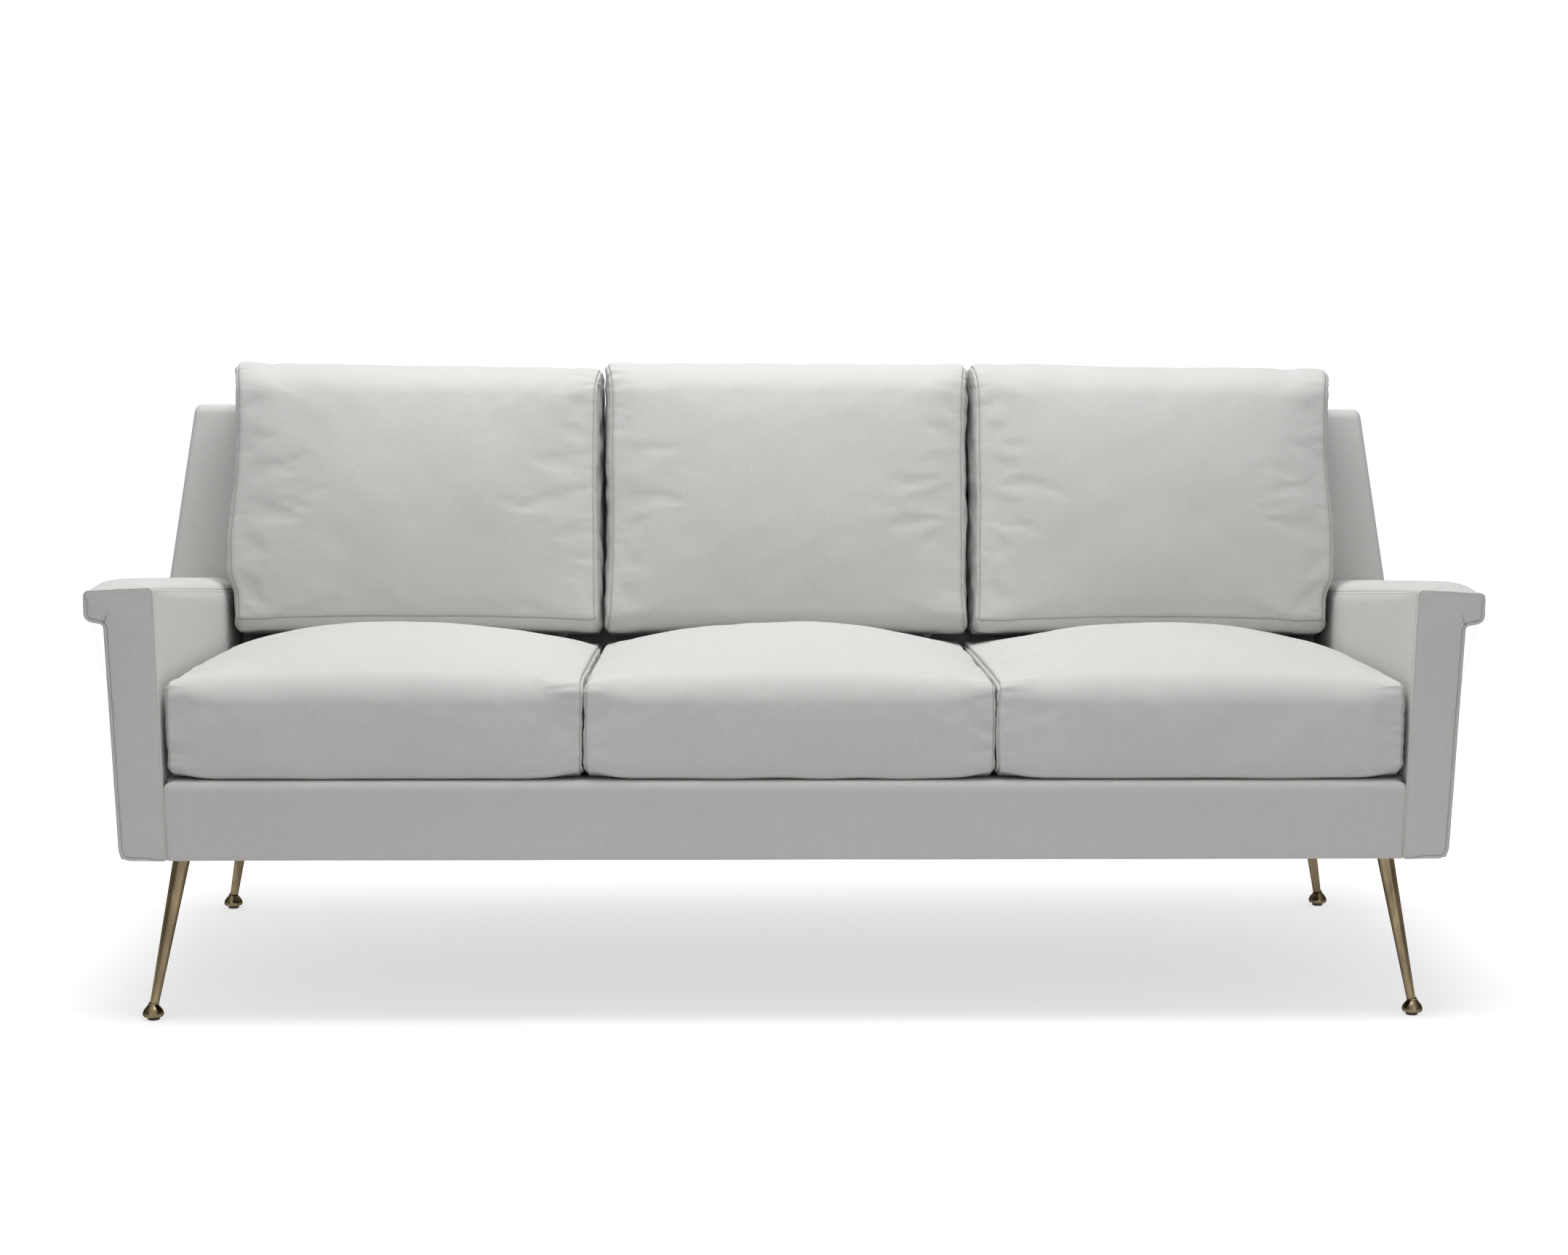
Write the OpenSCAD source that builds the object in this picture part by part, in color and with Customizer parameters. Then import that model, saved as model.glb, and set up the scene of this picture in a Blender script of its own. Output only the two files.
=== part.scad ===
// Three-seat sofa with low lipped arms, loose cushions and splayed tapered metal legs.
// Millimetres, +Z up, +X across the width, front towards -Y.
// The origin is on the floor, at the middle of the bounding box.

/* [Overall] */
// Width across the lips of the two arms
overall_w = 1930; // [1560:10:2400]
// Depth from the arm fronts to the top rear edge of the back
overall_d = 795; // [765:5:900]
// Height of the upholstered back above the floor
back_h = 829; // [780:1:900]
// Height of the body's underside above the floor
leg_h = 243; // [180:1:280]

/* [Rail and deck] */
// Height of the front rail, from the underside to the seat deck
rail_h = 110; // [96:1:130]
// How far the rail's face lies behind the arm fronts
rail_set = 3; // [0:0.5:8]
// Radius of the rail's top front edge
rail_round = 14; // [4:1:20]
// How far the deck falls towards the back, in degrees
seat_pitch = 3; // [1:0.5:4]
// Padding and cover on the rail and the deck
deck_pad_t = 12; // [8:1:16]

/* [Arms] */
// Height of the arm's inner top edge at the front
arm_h = 622; // [590:1:660]
// How far the arm's top falls from front to back
arm_drop = 57; // [20:1:80]
// Thickness of the arm's slab
arm_t = 65; // [56:1:90]
// How far the slab leans outwards between the underside and the lip
arm_lean = 13; // [0:1:20]
// How far the arms close in towards the back, each side
arm_toe = 24; // [4:1:34]
// How far the lip stands out from the slab
lip_out = 26; // [18:1:40]
// Depth of the lip's outer face
lip_h = 42; // [38:1:55]
// Rise of the arm's padded top in the middle
arm_crown = 7; // [2:1:12]
// Padding and cover on each side of the arm
arm_pad = 10; // [6:1:12]
// Thickness of the padded panel on the arm's front
arm_panel_t = 10; // [6:1:16]

/* [Back] */
// How far the back's face leans, in degrees
back_rake = 12; // [8:0.5:14]
// How far the outside of the back leans, in degrees
rear_rake = 4; // [2:0.5:6]
// Thickness of the back at its top
back_t = 120.5; // [100:0.5:160]
// How far the back's top corners lie inside the body's sides
back_top_in = 4; // [0:1:40]
// Padding and cover on the back's face and top
back_pad = 14; // [8:1:18]
// Thickness of the outside back panel
rear_panel_t = 6; // [4:1:10]

/* [Seat cushions] */
// Thickness of a seat cushion at its edges
seat_t = 136; // [115:1:150]
// Rise of a seat cushion's crown
seat_crown = 56; // [20:1:64]
// Roundness of a seat cushion's front top edge
seat_nose = 40; // [30:1:66]
// How far the seat cushions lie behind the arm fronts
seat_set = 6; // [4:1:30]

/* [Back cushions] */
// Height of a back cushion along the back
cushion_h = 425; // [380:1:460]
// Thickness of a back cushion at its edges
cushion_t = 137; // [120:1:150]
// Rise of a back cushion's crown
cushion_crown = 28; // [10:1:40]
// Room between the back cushions and the arm on each side
cushion_room = 11; // [4:1:40]

/* [Legs] */
// Diameter of a leg at its top
leg_top_dia = 25; // [18:0.5:32]
// Diameter of a leg where it meets its foot
leg_end_dia = 12.4; // [10:0.2:16]
// Distance of a leg's top from the body's side
leg_in_x = 73; // [68:1:100]
// Distance of a front leg's top from the arm fronts
leg_in_front = 93; // [80:1:120]
// Distance of a rear leg's top from the back of the underside
leg_in_rear = 43; // [40:1:70]
// How far a foot stands out sideways from its leg's top
splay_side = 46; // [20:1:60]
// How far a foot stands out forwards or backwards from its leg's top
splay_fore = 31; // [10:1:34]
// Diameter of a ball foot
foot_dia = 29.5; // [26:0.5:40]
// Height of a ball foot
foot_h = 18; // [15:0.5:22]

/* [Hidden] */
$fn = 48;

fabric = "#a9a7a3";
fabric_dark = "#8f8d89";
timber = "#c9a878";
webbing = "#5c5a55";
foam = "#e6dfcf";
lining = "#2e2d2c";
brass = "#9a825a";
steel = "#8d9094";
nylon = "#262626";

// Clearances, and the overrun of a cut past the face that it opens
fit_gap = 0.2;
slide_gap = 0.4;
side_gap = 0.5;
seat_rear_gap = 4;
cut_over = 5;

// Timber, webbing and lining
board_t = 25;
stretcher_h = 60;
block_l = 150;
block_h = 45;
web_w = 50;
web_t = 2.4;
web_pitch = 110;
dust_t = 1;
top_pad = 12;
arm_board_t = 20;
arm_post_l = 60;
back_strap_count = 4;
cover_lap = 60;

// Softened edges
arm_round = 16;
lip_round = 12;
lip_fall = 5;
back_round = 14;
rim_round = 12;

// Leg fittings
plate_w = 60;
plate_t = 3;
plate_gap = 1;
stud_dia = 8;
stud_gap = 0.05;
stud_up = 34;
stud_down = 26;
spigot_dia = 7;
spigot_l = 9;
// Turn about a leg's own axis, so that the start of its round lies off the cut at its top
seam_turn = 75;
foot_neck_share = 0.62;
// Where a ball foot's round starts under its widest place, and its step, in degrees
foot_low = 40;
foot_step = 10;
glide_dia = 17;
glide_h = 4;
screw_dia = 3.5;
screw_l = 24;
screw_head_dia = 7.5;
screw_head_h = 2;
screw_in = 8;

// Cushions: the wall round the foam core, the zip and its slider
core_end_wall = 34;
core_face_wall = 20;
core_side_wall = 24;
low_round = 14;
seat_rear_round = 26;
cushion_front_round = 34;
cushion_top_round = 56;
cushion_foot_round = 34;
draw_in = 3;
zip_margin = 10;
zip_w = 5;
zip_t = 3;
slider_l = 12;
slider_w = 8;
slider_t = 3.6;
slider_gap = 0.3;
pull_l = 22;
pull_w = 4;
pull_t = 1.2;
crown_power = 0.8;
// How much of the seat's crown lifts the back cushions
lift_share = 0.21;
// How much the outer back cushions draw in at the bottom, between the arms
foot_in = 16;

// Steps of the cushions' skins
end_step = 30;
across_count = 7;
along_count = 7;

// Places that follow from the sizes
front = -overall_d / 2;
rear = overall_d / 2;
half_w = overall_w / 2;
slab_out = half_w - lip_out;
body_half = slab_out - arm_lean;
seat_half = body_half - arm_t;
frame_half = body_half - arm_pad;
rail_half = frame_half - board_t;
wood_z = leg_h + dust_t;
under_t = deck_pad_t + 2 * web_t;
// The deck runs from the arm fronts to the foot of the back's face
back_run = (back_h - leg_h - rail_h) * tan(back_rake);
deck_l = (overall_d - back_t - back_run) / (1 + tan(seat_pitch) * tan(back_rake));
seat_d = deck_l - seat_set - seat_rear_gap;
back_foot_y = front + deck_l;
back_foot_z = deck_z(back_foot_y);
arm_rear_z = arm_h - arm_drop;
lip_z = arm_h - lip_fall - lip_h;
back_top_half = body_half - back_top_in;
plate_z = wood_z - plate_t;
seat_rest = slide_gap;
lift = (seat_t + lift_share * seat_crown) / cos(back_rake - seat_pitch);
cushions_w = 2 * (seat_half - cushion_room);
cushion_pitch = cushions_w / 3;
cushion_half = (cushion_pitch - 2 * side_gap) / 2;
seat_share_w = 2 * seat_half / 3;
seat_cushion_half = (seat_share_w - 2 * side_gap) / 2;
front_face = front + rail_set;
rail_front = front_face + deck_pad_t;

// Height of the seat deck, and of the rails' top edges under it, at a place along the depth
function deck_z(y) = leg_h + rail_h - (y - front) * tan(seat_pitch);
function rail_top(y) = deck_z(y) - under_t / cos(seat_pitch);
// Place along the depth of the back's face, the front of its hollow, and its outside
function back_y(z) = back_foot_y + (z - back_foot_z) * tan(back_rake);
function hollow_y(z) = back_y(z) + back_pad / cos(back_rake);
function post_y(z) = back_y(z) + (back_pad + web_t) / cos(back_rake);
function rear_y(z) = rear - (back_h - z) * tan(rear_rake);
function panel_y(z) = rear_y(z) - rear_panel_t / cos(rear_rake);
// How far the slab has leaned out at a height, and how far the arms have closed in at a depth
function lean(z) = arm_lean * (z - leg_h) / (lip_z - leg_h);
function toe(y) = arm_toe * (y - front) / deck_l;
// A point between two others, and an arc of points
function mix(a, b, t) = a + (b - a) * t;
function arc(c, r, a0, a1, n) = [for (k = [0:n]) c + r * [cos(mix(a0, a1, k / n)), sin(mix(a0, a1, k / n))]];

// An outline with each corner softened by the length given for it
function soften(pts, cuts, n = 4) = [
  for (i = [0:len(pts) - 1])
    let (
      p = pts[i],
      a = pts[(i + len(pts) - 1) % len(pts)],
      b = pts[(i + 1) % len(pts)],
      s = p + (a - p) * min(cuts[i], norm(a - p) / 2) / norm(a - p),
      e = p + (b - p) * min(cuts[i], norm(b - p) / 2) / norm(b - p)
    )
    each cuts[i] == 0
      ? [p]
      : [for (k = [0:n]) let (t = k / n) s * (1 - t) ^ 2 + 2 * p * t * (1 - t) + e * t ^ 2]
];

// An outline of the depth and height, drawn out along the width
module along_x(x0, x1, pts) translate([x0, 0, 0]) rotate([90, 0, 90]) linear_extrude(x1 - x0) polygon(pts);
// An outline of the width and height, drawn out along the depth
module along_y(y0, y1, pts) translate([0, y1, 0]) rotate([90, 0, 0]) linear_extrude(y1 - y0) polygon(pts);
// The seat deck's own frame, and the back's: the deck's surface is z = 0, and the back's face is y = 0
module on_deck() translate([0, front, deck_z(front)]) rotate([-seat_pitch, 0, 0]) children();
module on_back() translate([0, back_foot_y, back_foot_z]) rotate([-back_rake, 0, 0]) children();
// A box between two corners
module span(low, high) translate(low) cube(high - low);

// A closed skin through loops of points; each end is closed by its own flat face, by a fan to a point,
// or by the triangles given for one loop
module skin(loops, tips = [], caps = []) {
  n = len(loops);
  m = len(loops[0]);
  points = concat([for (loop = loops) each loop], tips);
  sides = [
    for (i = [0:n - 2])
      for (j = [0:m - 1])
        let (a = i * m + j, b = i * m + (j + 1) % m)
        each [[a, b, b + m], [a, b + m, a + m]]
  ];
  last = (n - 1) * m;
  ends = len(caps) > 0
    ? concat([for (c = caps) [c[2], c[1], c[0]]], [for (c = caps) [last + c[0], last + c[1], last + c[2]]])
    : len(tips) == 0
    ? [[for (j = [m - 1:-1:0]) j], [for (j = [0:m - 1]) last + j]]
    : [for (j = [0:m - 1]) let (k = (j + 1) % m) each [[k, j, n * m], [last + j, last + k, n * m + 1]]];
  polyhedron(points, concat(sides, ends));
}

// Outlines of the right arm at its front (t = 0) and at the back's face (t = 1), from its inner face's foot
function arm_end_y(z, t) = t == 0 ? front + arm_panel_t : back_y(z);
function arm_top_z(t) = arm_h - arm_drop * t;
function arm_points(t, foot_z) =
  let (
    top = arm_top_z(t),
    low = top - lip_fall - lip_h,
    in_top = seat_half + lean(top) - toe(arm_end_y(top, t))
  )
  [
    [seat_half + lean(foot_z) - toe(arm_end_y(foot_z, t)), foot_z],
    [in_top, top],
    [(in_top + half_w) / 2, top + arm_crown],
    [half_w, top - lip_fall],
    [half_w, low],
    [body_half + lean(low), low - lip_fall],
    [body_half, leg_h]
  ];
arm_cuts = [0, arm_round, 3 * arm_round, lip_round, lip_round, lip_fall, 0];
// The hollow inside the cover, from its outer wall's foot up, round and down to its inner wall's foot: it has
// one corner for each corner of the arm's outline
function board_low(t) = arm_top_z(t) - top_pad - arm_board_t;
function hollow_points(t, foot_z) =
  let (top = arm_top_z(t) - top_pad, low = board_low(t), in_top = seat_half + arm_pad + lean(top))
  [
    [frame_half, leg_h],
    [frame_half + lean(low), low],
    [half_w - arm_pad, low],
    [half_w - arm_pad, top],
    [(in_top + half_w - arm_pad) / 2, top],
    [in_top, top],
    [seat_half + arm_pad + lean(foot_z), foot_z]
  ];
function board_points(t) =
  let (top = arm_top_z(t) - top_pad - fit_gap, low = board_low(t) + fit_gap)
  [
    [seat_half + arm_pad + lean(top) + fit_gap, top],
    [half_w - arm_pad - fit_gap, top],
    [half_w - arm_pad - fit_gap, low],
    [seat_half + arm_pad + lean(top) + fit_gap, low]
  ];
function at_depth(pts, t, more = 0) = [for (p = pts) [p[0], arm_end_y(p[1], t) + more, p[1]]];

module mirrored(side) {
  if (side < 0) mirror([1, 0, 0]) children();
  else children();
}

// Below the deck, the space under the back's cover is open
module below_deck(x0, x1, y0, y1) {
  along_x(x0, x1, [
    [y0, leg_h - cut_over], [y0, deck_z(y0)], [y1, deck_z(y1)], [y1, leg_h - cut_over]
  ]);
}

// The cover hangs over the arm's frame: its inner wall ends on the deck, and its outer wall at the underside
function cover_loop(t) =
  let (foot_z = t == 0 ? deck_z(front + arm_panel_t) : back_foot_z)
  at_depth(concat(soften(arm_points(t, foot_z), arm_cuts), hollow_points(t, foot_z)), t);

// The cover's ends: each corner of the hollow fans out to its corner of the outline, and bands join the fans
function corner_start(i, n) = i == 0 ? 0 : corner_start(i - 1, n) + (arm_cuts[i - 1] == 0 ? 1 : n + 1);
function cover_caps(n = 4) =
  let (corners = len(arm_cuts), hollow_last = corner_start(corners, n) + corners - 1)
  [
    for (i = [0:corners - 1])
      let (start = corner_start(i, n), end = corner_start(i + 1, n) - 1, h = hollow_last - i)
      each concat(
        [for (k = [start:1:end - 1]) [k, k + 1, h]],
        i == corners - 1 ? [] : [[end, end + 1, h - 1], [end, h - 1, h]]
      )
  ];

module arm_cover(side) color(fabric) mirrored(side) skin([cover_loop(0), cover_loop(1)], [], cover_caps());

module arm_front(side) color(fabric) mirrored(side)
  along_y(front, front + arm_panel_t - fit_gap, soften(
    arm_points(0, leg_h), [rim_round / 2, arm_round, 3 * arm_round, lip_round, lip_round, lip_fall, rim_round]
  ));

module arm_board(side) color(timber) mirrored(side)
  skin([at_depth(board_points(0), 0, fit_gap), at_depth(board_points(1), 1, -fit_gap)]);

// Two posts carry the arm's board on the side rail
module arm_posts(side) color(timber) mirrored(side) intersection() {
  inner = seat_half + arm_pad + fit_gap;
  outer = frame_half - fit_gap;
  rear_start = back_y(rail_top(back_foot_y)) - arm_post_l - back_pad;
  union() for (y = [front + arm_panel_t + fit_gap, rear_start])
    along_y(y, y + arm_post_l, [
      [inner, leg_h], [inner + lean(arm_h), arm_h], [outer + lean(arm_h), arm_h], [outer, leg_h]
    ]);
  along_x(seat_half, half_w, [
    [front, rail_top(front) + fit_gap],
    [back_foot_y, rail_top(back_foot_y) + fit_gap],
    [back_y(board_low(1)), board_low(1) - fit_gap],
    [front + arm_panel_t, board_low(0) - fit_gap]
  ]);
}

// A rail across the body, with its top edge under the webbing
module cross_rail(y) color(timber)
  along_x(-rail_half + fit_gap, rail_half - fit_gap, [
    [y, wood_z], [y, rail_top(y)], [y + board_t, rail_top(y + board_t)], [y + board_t, wood_z]
  ]);

rear_rail_y = panel_y(leg_h) - board_t - fit_gap;

module front_rail() cross_rail(rail_front + fit_gap);
module seat_back_rail() cross_rail(back_foot_y);
module rear_rail() difference() {
  cross_rail(rear_rail_y);
  screw_holes();
}

module side_rail(side) color(timber) mirrored(side) {
  y0 = front + arm_panel_t + fit_gap;
  y1 = rear_rail_y + board_t;
  along_x(rail_half, frame_half - fit_gap, [
    [y0, wood_z], [y0, rail_top(y0)], [y1, rail_top(y1)], [y1, wood_z]
  ]);
}

module seat_stretchers() color(timber) for (x = [-seat_share_w / 2, seat_share_w / 2]) span(
  [x - board_t / 2, rail_front + board_t + 2 * fit_gap, wood_z],
  [x + board_t / 2, back_foot_y - fit_gap, wood_z + stretcher_h]
);

leg_x = body_half - leg_in_x;
leg_front_y = front + leg_in_front;
leg_rear_y = rear_y(leg_h) - leg_in_rear;
leg_places = [
  [-leg_x, leg_front_y, -1, -1], [leg_x, leg_front_y, 1, -1],
  [-leg_x, leg_rear_y, -1, 1], [leg_x, leg_rear_y, 1, 1]
];

// Things on a leg's own axis: its zero is the leg's top, and +Z runs down the leg to its foot
module on_leg(place) {
  way = [place[2] * splay_side, place[3] * splay_fore, -leg_h];
  translate([place[0], place[1], plate_z])
    rotate([0, acos(way[2] / norm(way)), atan2(way[1], way[0])]) rotate(seam_turn) children();
}
leg_slant = norm([splay_side, splay_fore, leg_h]) / leg_h;
leg_run = (plate_z - glide_h - foot_h * foot_neck_share) * leg_slant;

module leg_body(extra) {
  run_up = leg_top_dia;
  r_top = leg_top_dia / 2 + run_up * (leg_top_dia - leg_end_dia) / 2 / leg_run;
  translate([0, 0, -run_up])
    cylinder(h = leg_run + run_up, r1 = r_top + extra, r2 = leg_end_dia / 2 + extra);
}

module leg(place) color(brass) difference() {
  union() {
    on_leg(place) leg_body(0);
    on_leg(place) cylinder(h = leg_run + spigot_l, d = spigot_dia);
  }
  translate([place[0] - 2 * leg_top_dia, place[1] - 2 * leg_top_dia, plate_z])
    cube(4 * leg_top_dia);
  on_leg(place) translate([0, 0, -stud_down]) cylinder(h = 2 * stud_down, r = stud_dia / 2 + stud_gap);
}

// Centre of a ball foot on the floor, under the end of its leg
function foot_place(place) = [
  place[0] + place[2] * splay_side * (plate_z - glide_h - foot_h / 2) / leg_h,
  place[1] + place[3] * splay_fore * (plate_z - glide_h - foot_h / 2) / leg_h,
  0
];

module ball_feet() color(brass) for (place = leg_places) difference() {
  translate(foot_place(place)) rotate_extrude() polygon(concat(
    [[0, glide_h], [glide_dia / 2, glide_h]],
    [for (a = [-foot_low:foot_step:90]) [
      foot_dia / 2 * cos(a),
      mix(glide_h, glide_h + foot_h, (sin(a) + sin(foot_low)) / (1 + sin(foot_low)))
    ]]
  ));
  on_leg(place) leg_body(stud_gap);
  on_leg(place) cylinder(h = leg_run + spigot_l + fit_gap, r = spigot_dia / 2 + stud_gap);
}

module floor_glides() color(nylon) for (place = leg_places)
  translate(foot_place(place)) cylinder(h = glide_h, d = glide_dia);

module leg_studs() color(steel) for (place = leg_places)
  on_leg(place) translate([0, 0, -stud_up]) cylinder(h = stud_up + stud_down - fit_gap, d = stud_dia);

function screw_places(place) = [
  for (sx = [-1, 1]) for (sy = [-1, 1])
    [place[0] + sx * (plate_w / 2 - screw_in), place[1] + sy * (plate_w / 2 - screw_in)]
];

module leg_plates() color(steel) for (place = leg_places) difference() {
  translate([place[0] - plate_w / 2, place[1] - plate_w / 2, plate_z]) cube([plate_w, plate_w, plate_t]);
  on_leg(place) translate([0, 0, -stud_up]) cylinder(h = 2 * stud_up, d = stud_dia + 2 * plate_gap);
  for (p = screw_places(place))
    translate([p[0], p[1], plate_z - cut_over]) cylinder(h = 2 * cut_over, d = screw_dia + plate_gap);
}

// Holes for the plates' screws, up into the blocks and the rear rail
module screw_holes() for (place = leg_places) for (p = screw_places(place))
  translate([p[0], p[1], leg_h]) cylinder(h = screw_l, r = screw_dia / 2 + stud_gap);

module plate_screws() color(steel) for (place = leg_places) for (p = screw_places(place)) {
  translate([p[0], p[1], plate_z - screw_head_h]) cylinder(h = screw_head_h, d = screw_head_dia);
  translate([p[0], p[1], plate_z - screw_head_h]) cylinder(h = screw_l, d = screw_dia);
}

// Glued blocks in the corners take the leg studs and the plates' screws
module corner_blocks() color(timber) for (place = leg_places) difference() {
  corner_x = place[2] * (rail_half - fit_gap);
  corner_y = place[3] < 0 ? rail_front + board_t + 2 * fit_gap : rear_rail_y - fit_gap;
  room = rear_rail_y - back_foot_y - board_t - 2 * fit_gap;
  far_y = place[3] < 0 ? corner_y + block_l : corner_y - min(block_l, room);
  translate([0, 0, wood_z]) linear_extrude(block_h)
    polygon([[corner_x, corner_y], [corner_x - place[2] * block_l, corner_y], [corner_x, far_y]]);
  on_leg(place) translate([0, 0, -2 * stud_up]) cylinder(h = 4 * stud_up, r = stud_dia / 2 + stud_gap);
  screw_holes();
}

// The back's outline from the front, inset by a margin at its sides and its top
function back_outline(side_in, top_in, low) =
  let (
    z_lip = arm_rear_z - lip_fall - lip_h,
    right = [
      [body_half - side_in, low],
      [body_half + lean(z_lip) - side_in, z_lip - lip_fall + side_in / 2],
      [half_w - side_in, z_lip + side_in / 2],
      [half_w - side_in, arm_rear_z - lip_fall],
      [back_top_half - side_in, back_h - top_in]
    ]
  )
  soften(
    concat(right, [for (k = [len(right) - 1:-1:0]) [-right[k][0], right[k][1]]]),
    [0, lip_fall, lip_round, lip_round, back_round, back_round, lip_round, lip_round, lip_fall, 0]
  );

module back_cover() color(fabric) difference() {
  intersection() {
    along_y(front, rear + cut_over, back_outline(0, 0, leg_h));
    along_x(-half_w - cut_over, half_w + cut_over, soften(
      [[back_y(leg_h), leg_h], [back_y(back_h), back_h], [panel_y(back_h), back_h], [panel_y(leg_h), leg_h]],
      [0, back_round, 0, 0]
    ));
  }
  intersection() {
    along_y(front, rear + cut_over, back_outline(arm_pad, top_pad, leg_h - cut_over));
    along_x(-half_w, half_w, [
      [hollow_y(leg_h - cut_over), leg_h - cut_over], [hollow_y(back_h), back_h],
      [rear + cut_over, back_h], [rear + cut_over, leg_h - cut_over]
    ]);
  }
  below_deck(-frame_half + fit_gap, frame_half - fit_gap, front, rear);
}

module outside_back() color(fabric) intersection() {
  along_y(front, rear + cut_over, back_outline(0, 0, leg_h));
  along_x(-half_w - cut_over, half_w + cut_over, [
    [panel_y(leg_h) + fit_gap, leg_h], [panel_y(back_h) + fit_gap, back_h],
    [rear_y(back_h), back_h], [rear_y(leg_h), leg_h]
  ]);
}

top_rail_z = back_h - top_pad - board_t;
post_half = back_top_half - arm_pad - back_round;

module back_top_rail() color(timber)
  along_x(-post_half, post_half, [
    [post_y(top_rail_z), top_rail_z],
    [post_y(back_h - top_pad), back_h - top_pad - fit_gap],
    [panel_y(back_h - top_pad) - fit_gap, back_h - top_pad - fit_gap],
    [panel_y(top_rail_z) - fit_gap, top_rail_z]
  ]);

// A back post: its front edge follows the back's lean, and it stands on the rails
module back_post(x) color(timber) intersection() {
  along_x(x, x + board_t, [
    [post_y(leg_h), leg_h], [post_y(top_rail_z), top_rail_z - fit_gap],
    [panel_y(top_rail_z) - fit_gap, top_rail_z - fit_gap], [panel_y(leg_h) - fit_gap, leg_h]
  ]);
  along_x(x - cut_over, x + board_t + cut_over, [
    [front, rail_top(front) + fit_gap], [front, back_h], [rear, back_h], [rear, rail_top(rear) + fit_gap]
  ]);
}

module back_post_left() back_post(-post_half);
module back_post_right() back_post(post_half - board_t);
module back_posts_inner() {
  back_post(-cushion_pitch / 2 - board_t / 2);
  back_post(cushion_pitch / 2 - board_t / 2);
}

// Elastic straps: one layer runs front to back on the rails, and one runs across on top of it
module seat_webbing() color(webbing) on_deck() {
  s0 = (rail_set + deck_pad_t + fit_gap) / cos(seat_pitch) + under_t * tan(seat_pitch);
  s1 = deck_l / cos(seat_pitch) + board_t;
  count_x = floor((seat_half - web_w) / web_pitch);
  for (k = [-count_x:count_x])
    span(
      [k * web_pitch - web_w / 2, s0, -under_t],
      [k * web_pitch + web_w / 2, s1, -under_t + web_t - fit_gap]
    );
  count_y = floor((s1 - s0 - 2 * web_w) / web_pitch);
  for (k = [1:count_y])
    span(
      [-frame_half + fit_gap, s0 + k * web_pitch - web_w / 2, -under_t + web_t],
      [frame_half - fit_gap, s0 + k * web_pitch + web_w / 2, -deck_pad_t - fit_gap]
    );
}

module back_webbing() color(webbing) on_back() {
  top = (top_rail_z - back_foot_z) / cos(back_rake);
  low = seat_t;
  pitch = (top - low) / back_strap_count;
  for (k = [0:back_strap_count - 1])
    span(
      [-post_half, back_pad + fit_gap, low + (k + 0.5) * pitch - web_w / 2],
      [post_half, back_pad + web_t, low + (k + 0.5) * pitch + web_w / 2]
    );
}

module seat_deck() color(fabric_dark) {
  y0 = front_face + cover_lap + fit_gap;
  y1 = hollow_y(back_foot_z) - fit_gap;
  pad = (deck_pad_t - fit_gap) / cos(seat_pitch);
  x1 = seat_half + arm_pad - fit_gap;
  along_x(-x1, x1, [[y0, deck_z(y0) - pad], [y0, deck_z(y0)], [y1, deck_z(y1)], [y1, deck_z(y1) - pad]]);
}

module dust_cover() color(lining) difference() {
  span(
    [-frame_half + fit_gap, rail_front + fit_gap, leg_h],
    [frame_half - fit_gap, panel_y(leg_h) - fit_gap, wood_z]
  );
  for (place = leg_places)
    translate([place[0], place[1], leg_h])
      cube([plate_w + 2 * plate_gap, plate_w + 2 * plate_gap, 4 * dust_t], center = true);
}

module rail_cover() color(fabric) {
  y1 = front_face + cover_lap;
  pad = deck_pad_t / cos(seat_pitch);
  x1 = seat_half - fit_gap;
  along_x(-x1, x1, soften(
    [
      [front_face, leg_h], [front_face, deck_z(front_face)], [y1, deck_z(y1)], [y1, deck_z(y1) - pad],
      [rail_front, deck_z(rail_front) - pad], [rail_front, leg_h]
    ],
    [0, rail_round, 0, 0, 0, 0]
  ));
}

// A cushion's outline along its length and up from its flat face, each edge rounded, drawn in by inset
function cushion_outline(l, t, inset, rounds) = concat(
  arc([rounds[0], t - rounds[0]], rounds[0] - inset, 180, 90, 6),
  [for (k = [1:along_count - 1]) [mix(rounds[0], l - rounds[1], k / along_count), t - inset]],
  arc([l - rounds[1], t - rounds[1]], rounds[1] - inset, 90, 0, 4),
  [[l - inset, t / 2]],
  arc([l - rounds[2], rounds[2]], rounds[2] - inset, 0, -90, 2),
  arc([rounds[3], rounds[3]], rounds[3] - inset, -90, -180, 2),
  [[inset, mix(rounds[3], t - rounds[0], 0.5)]]
);

// Places across a cushion, each with how far its rim has drawn in there
function across(half) =
  let (
    rim = [for (a = [0:end_step:90]) [half - rim_round * (1 - cos(a)), rim_round * (1 - sin(a))]],
    flat = half - rim_round
  )
  concat(
    [for (p = rim) [-p[0], p[1]]],
    [for (k = [1:across_count - 1]) [mix(-flat, flat, k / across_count), 0]],
    [for (k = [len(rim) - 1:-1:0]) rim[k]]
  );

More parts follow.
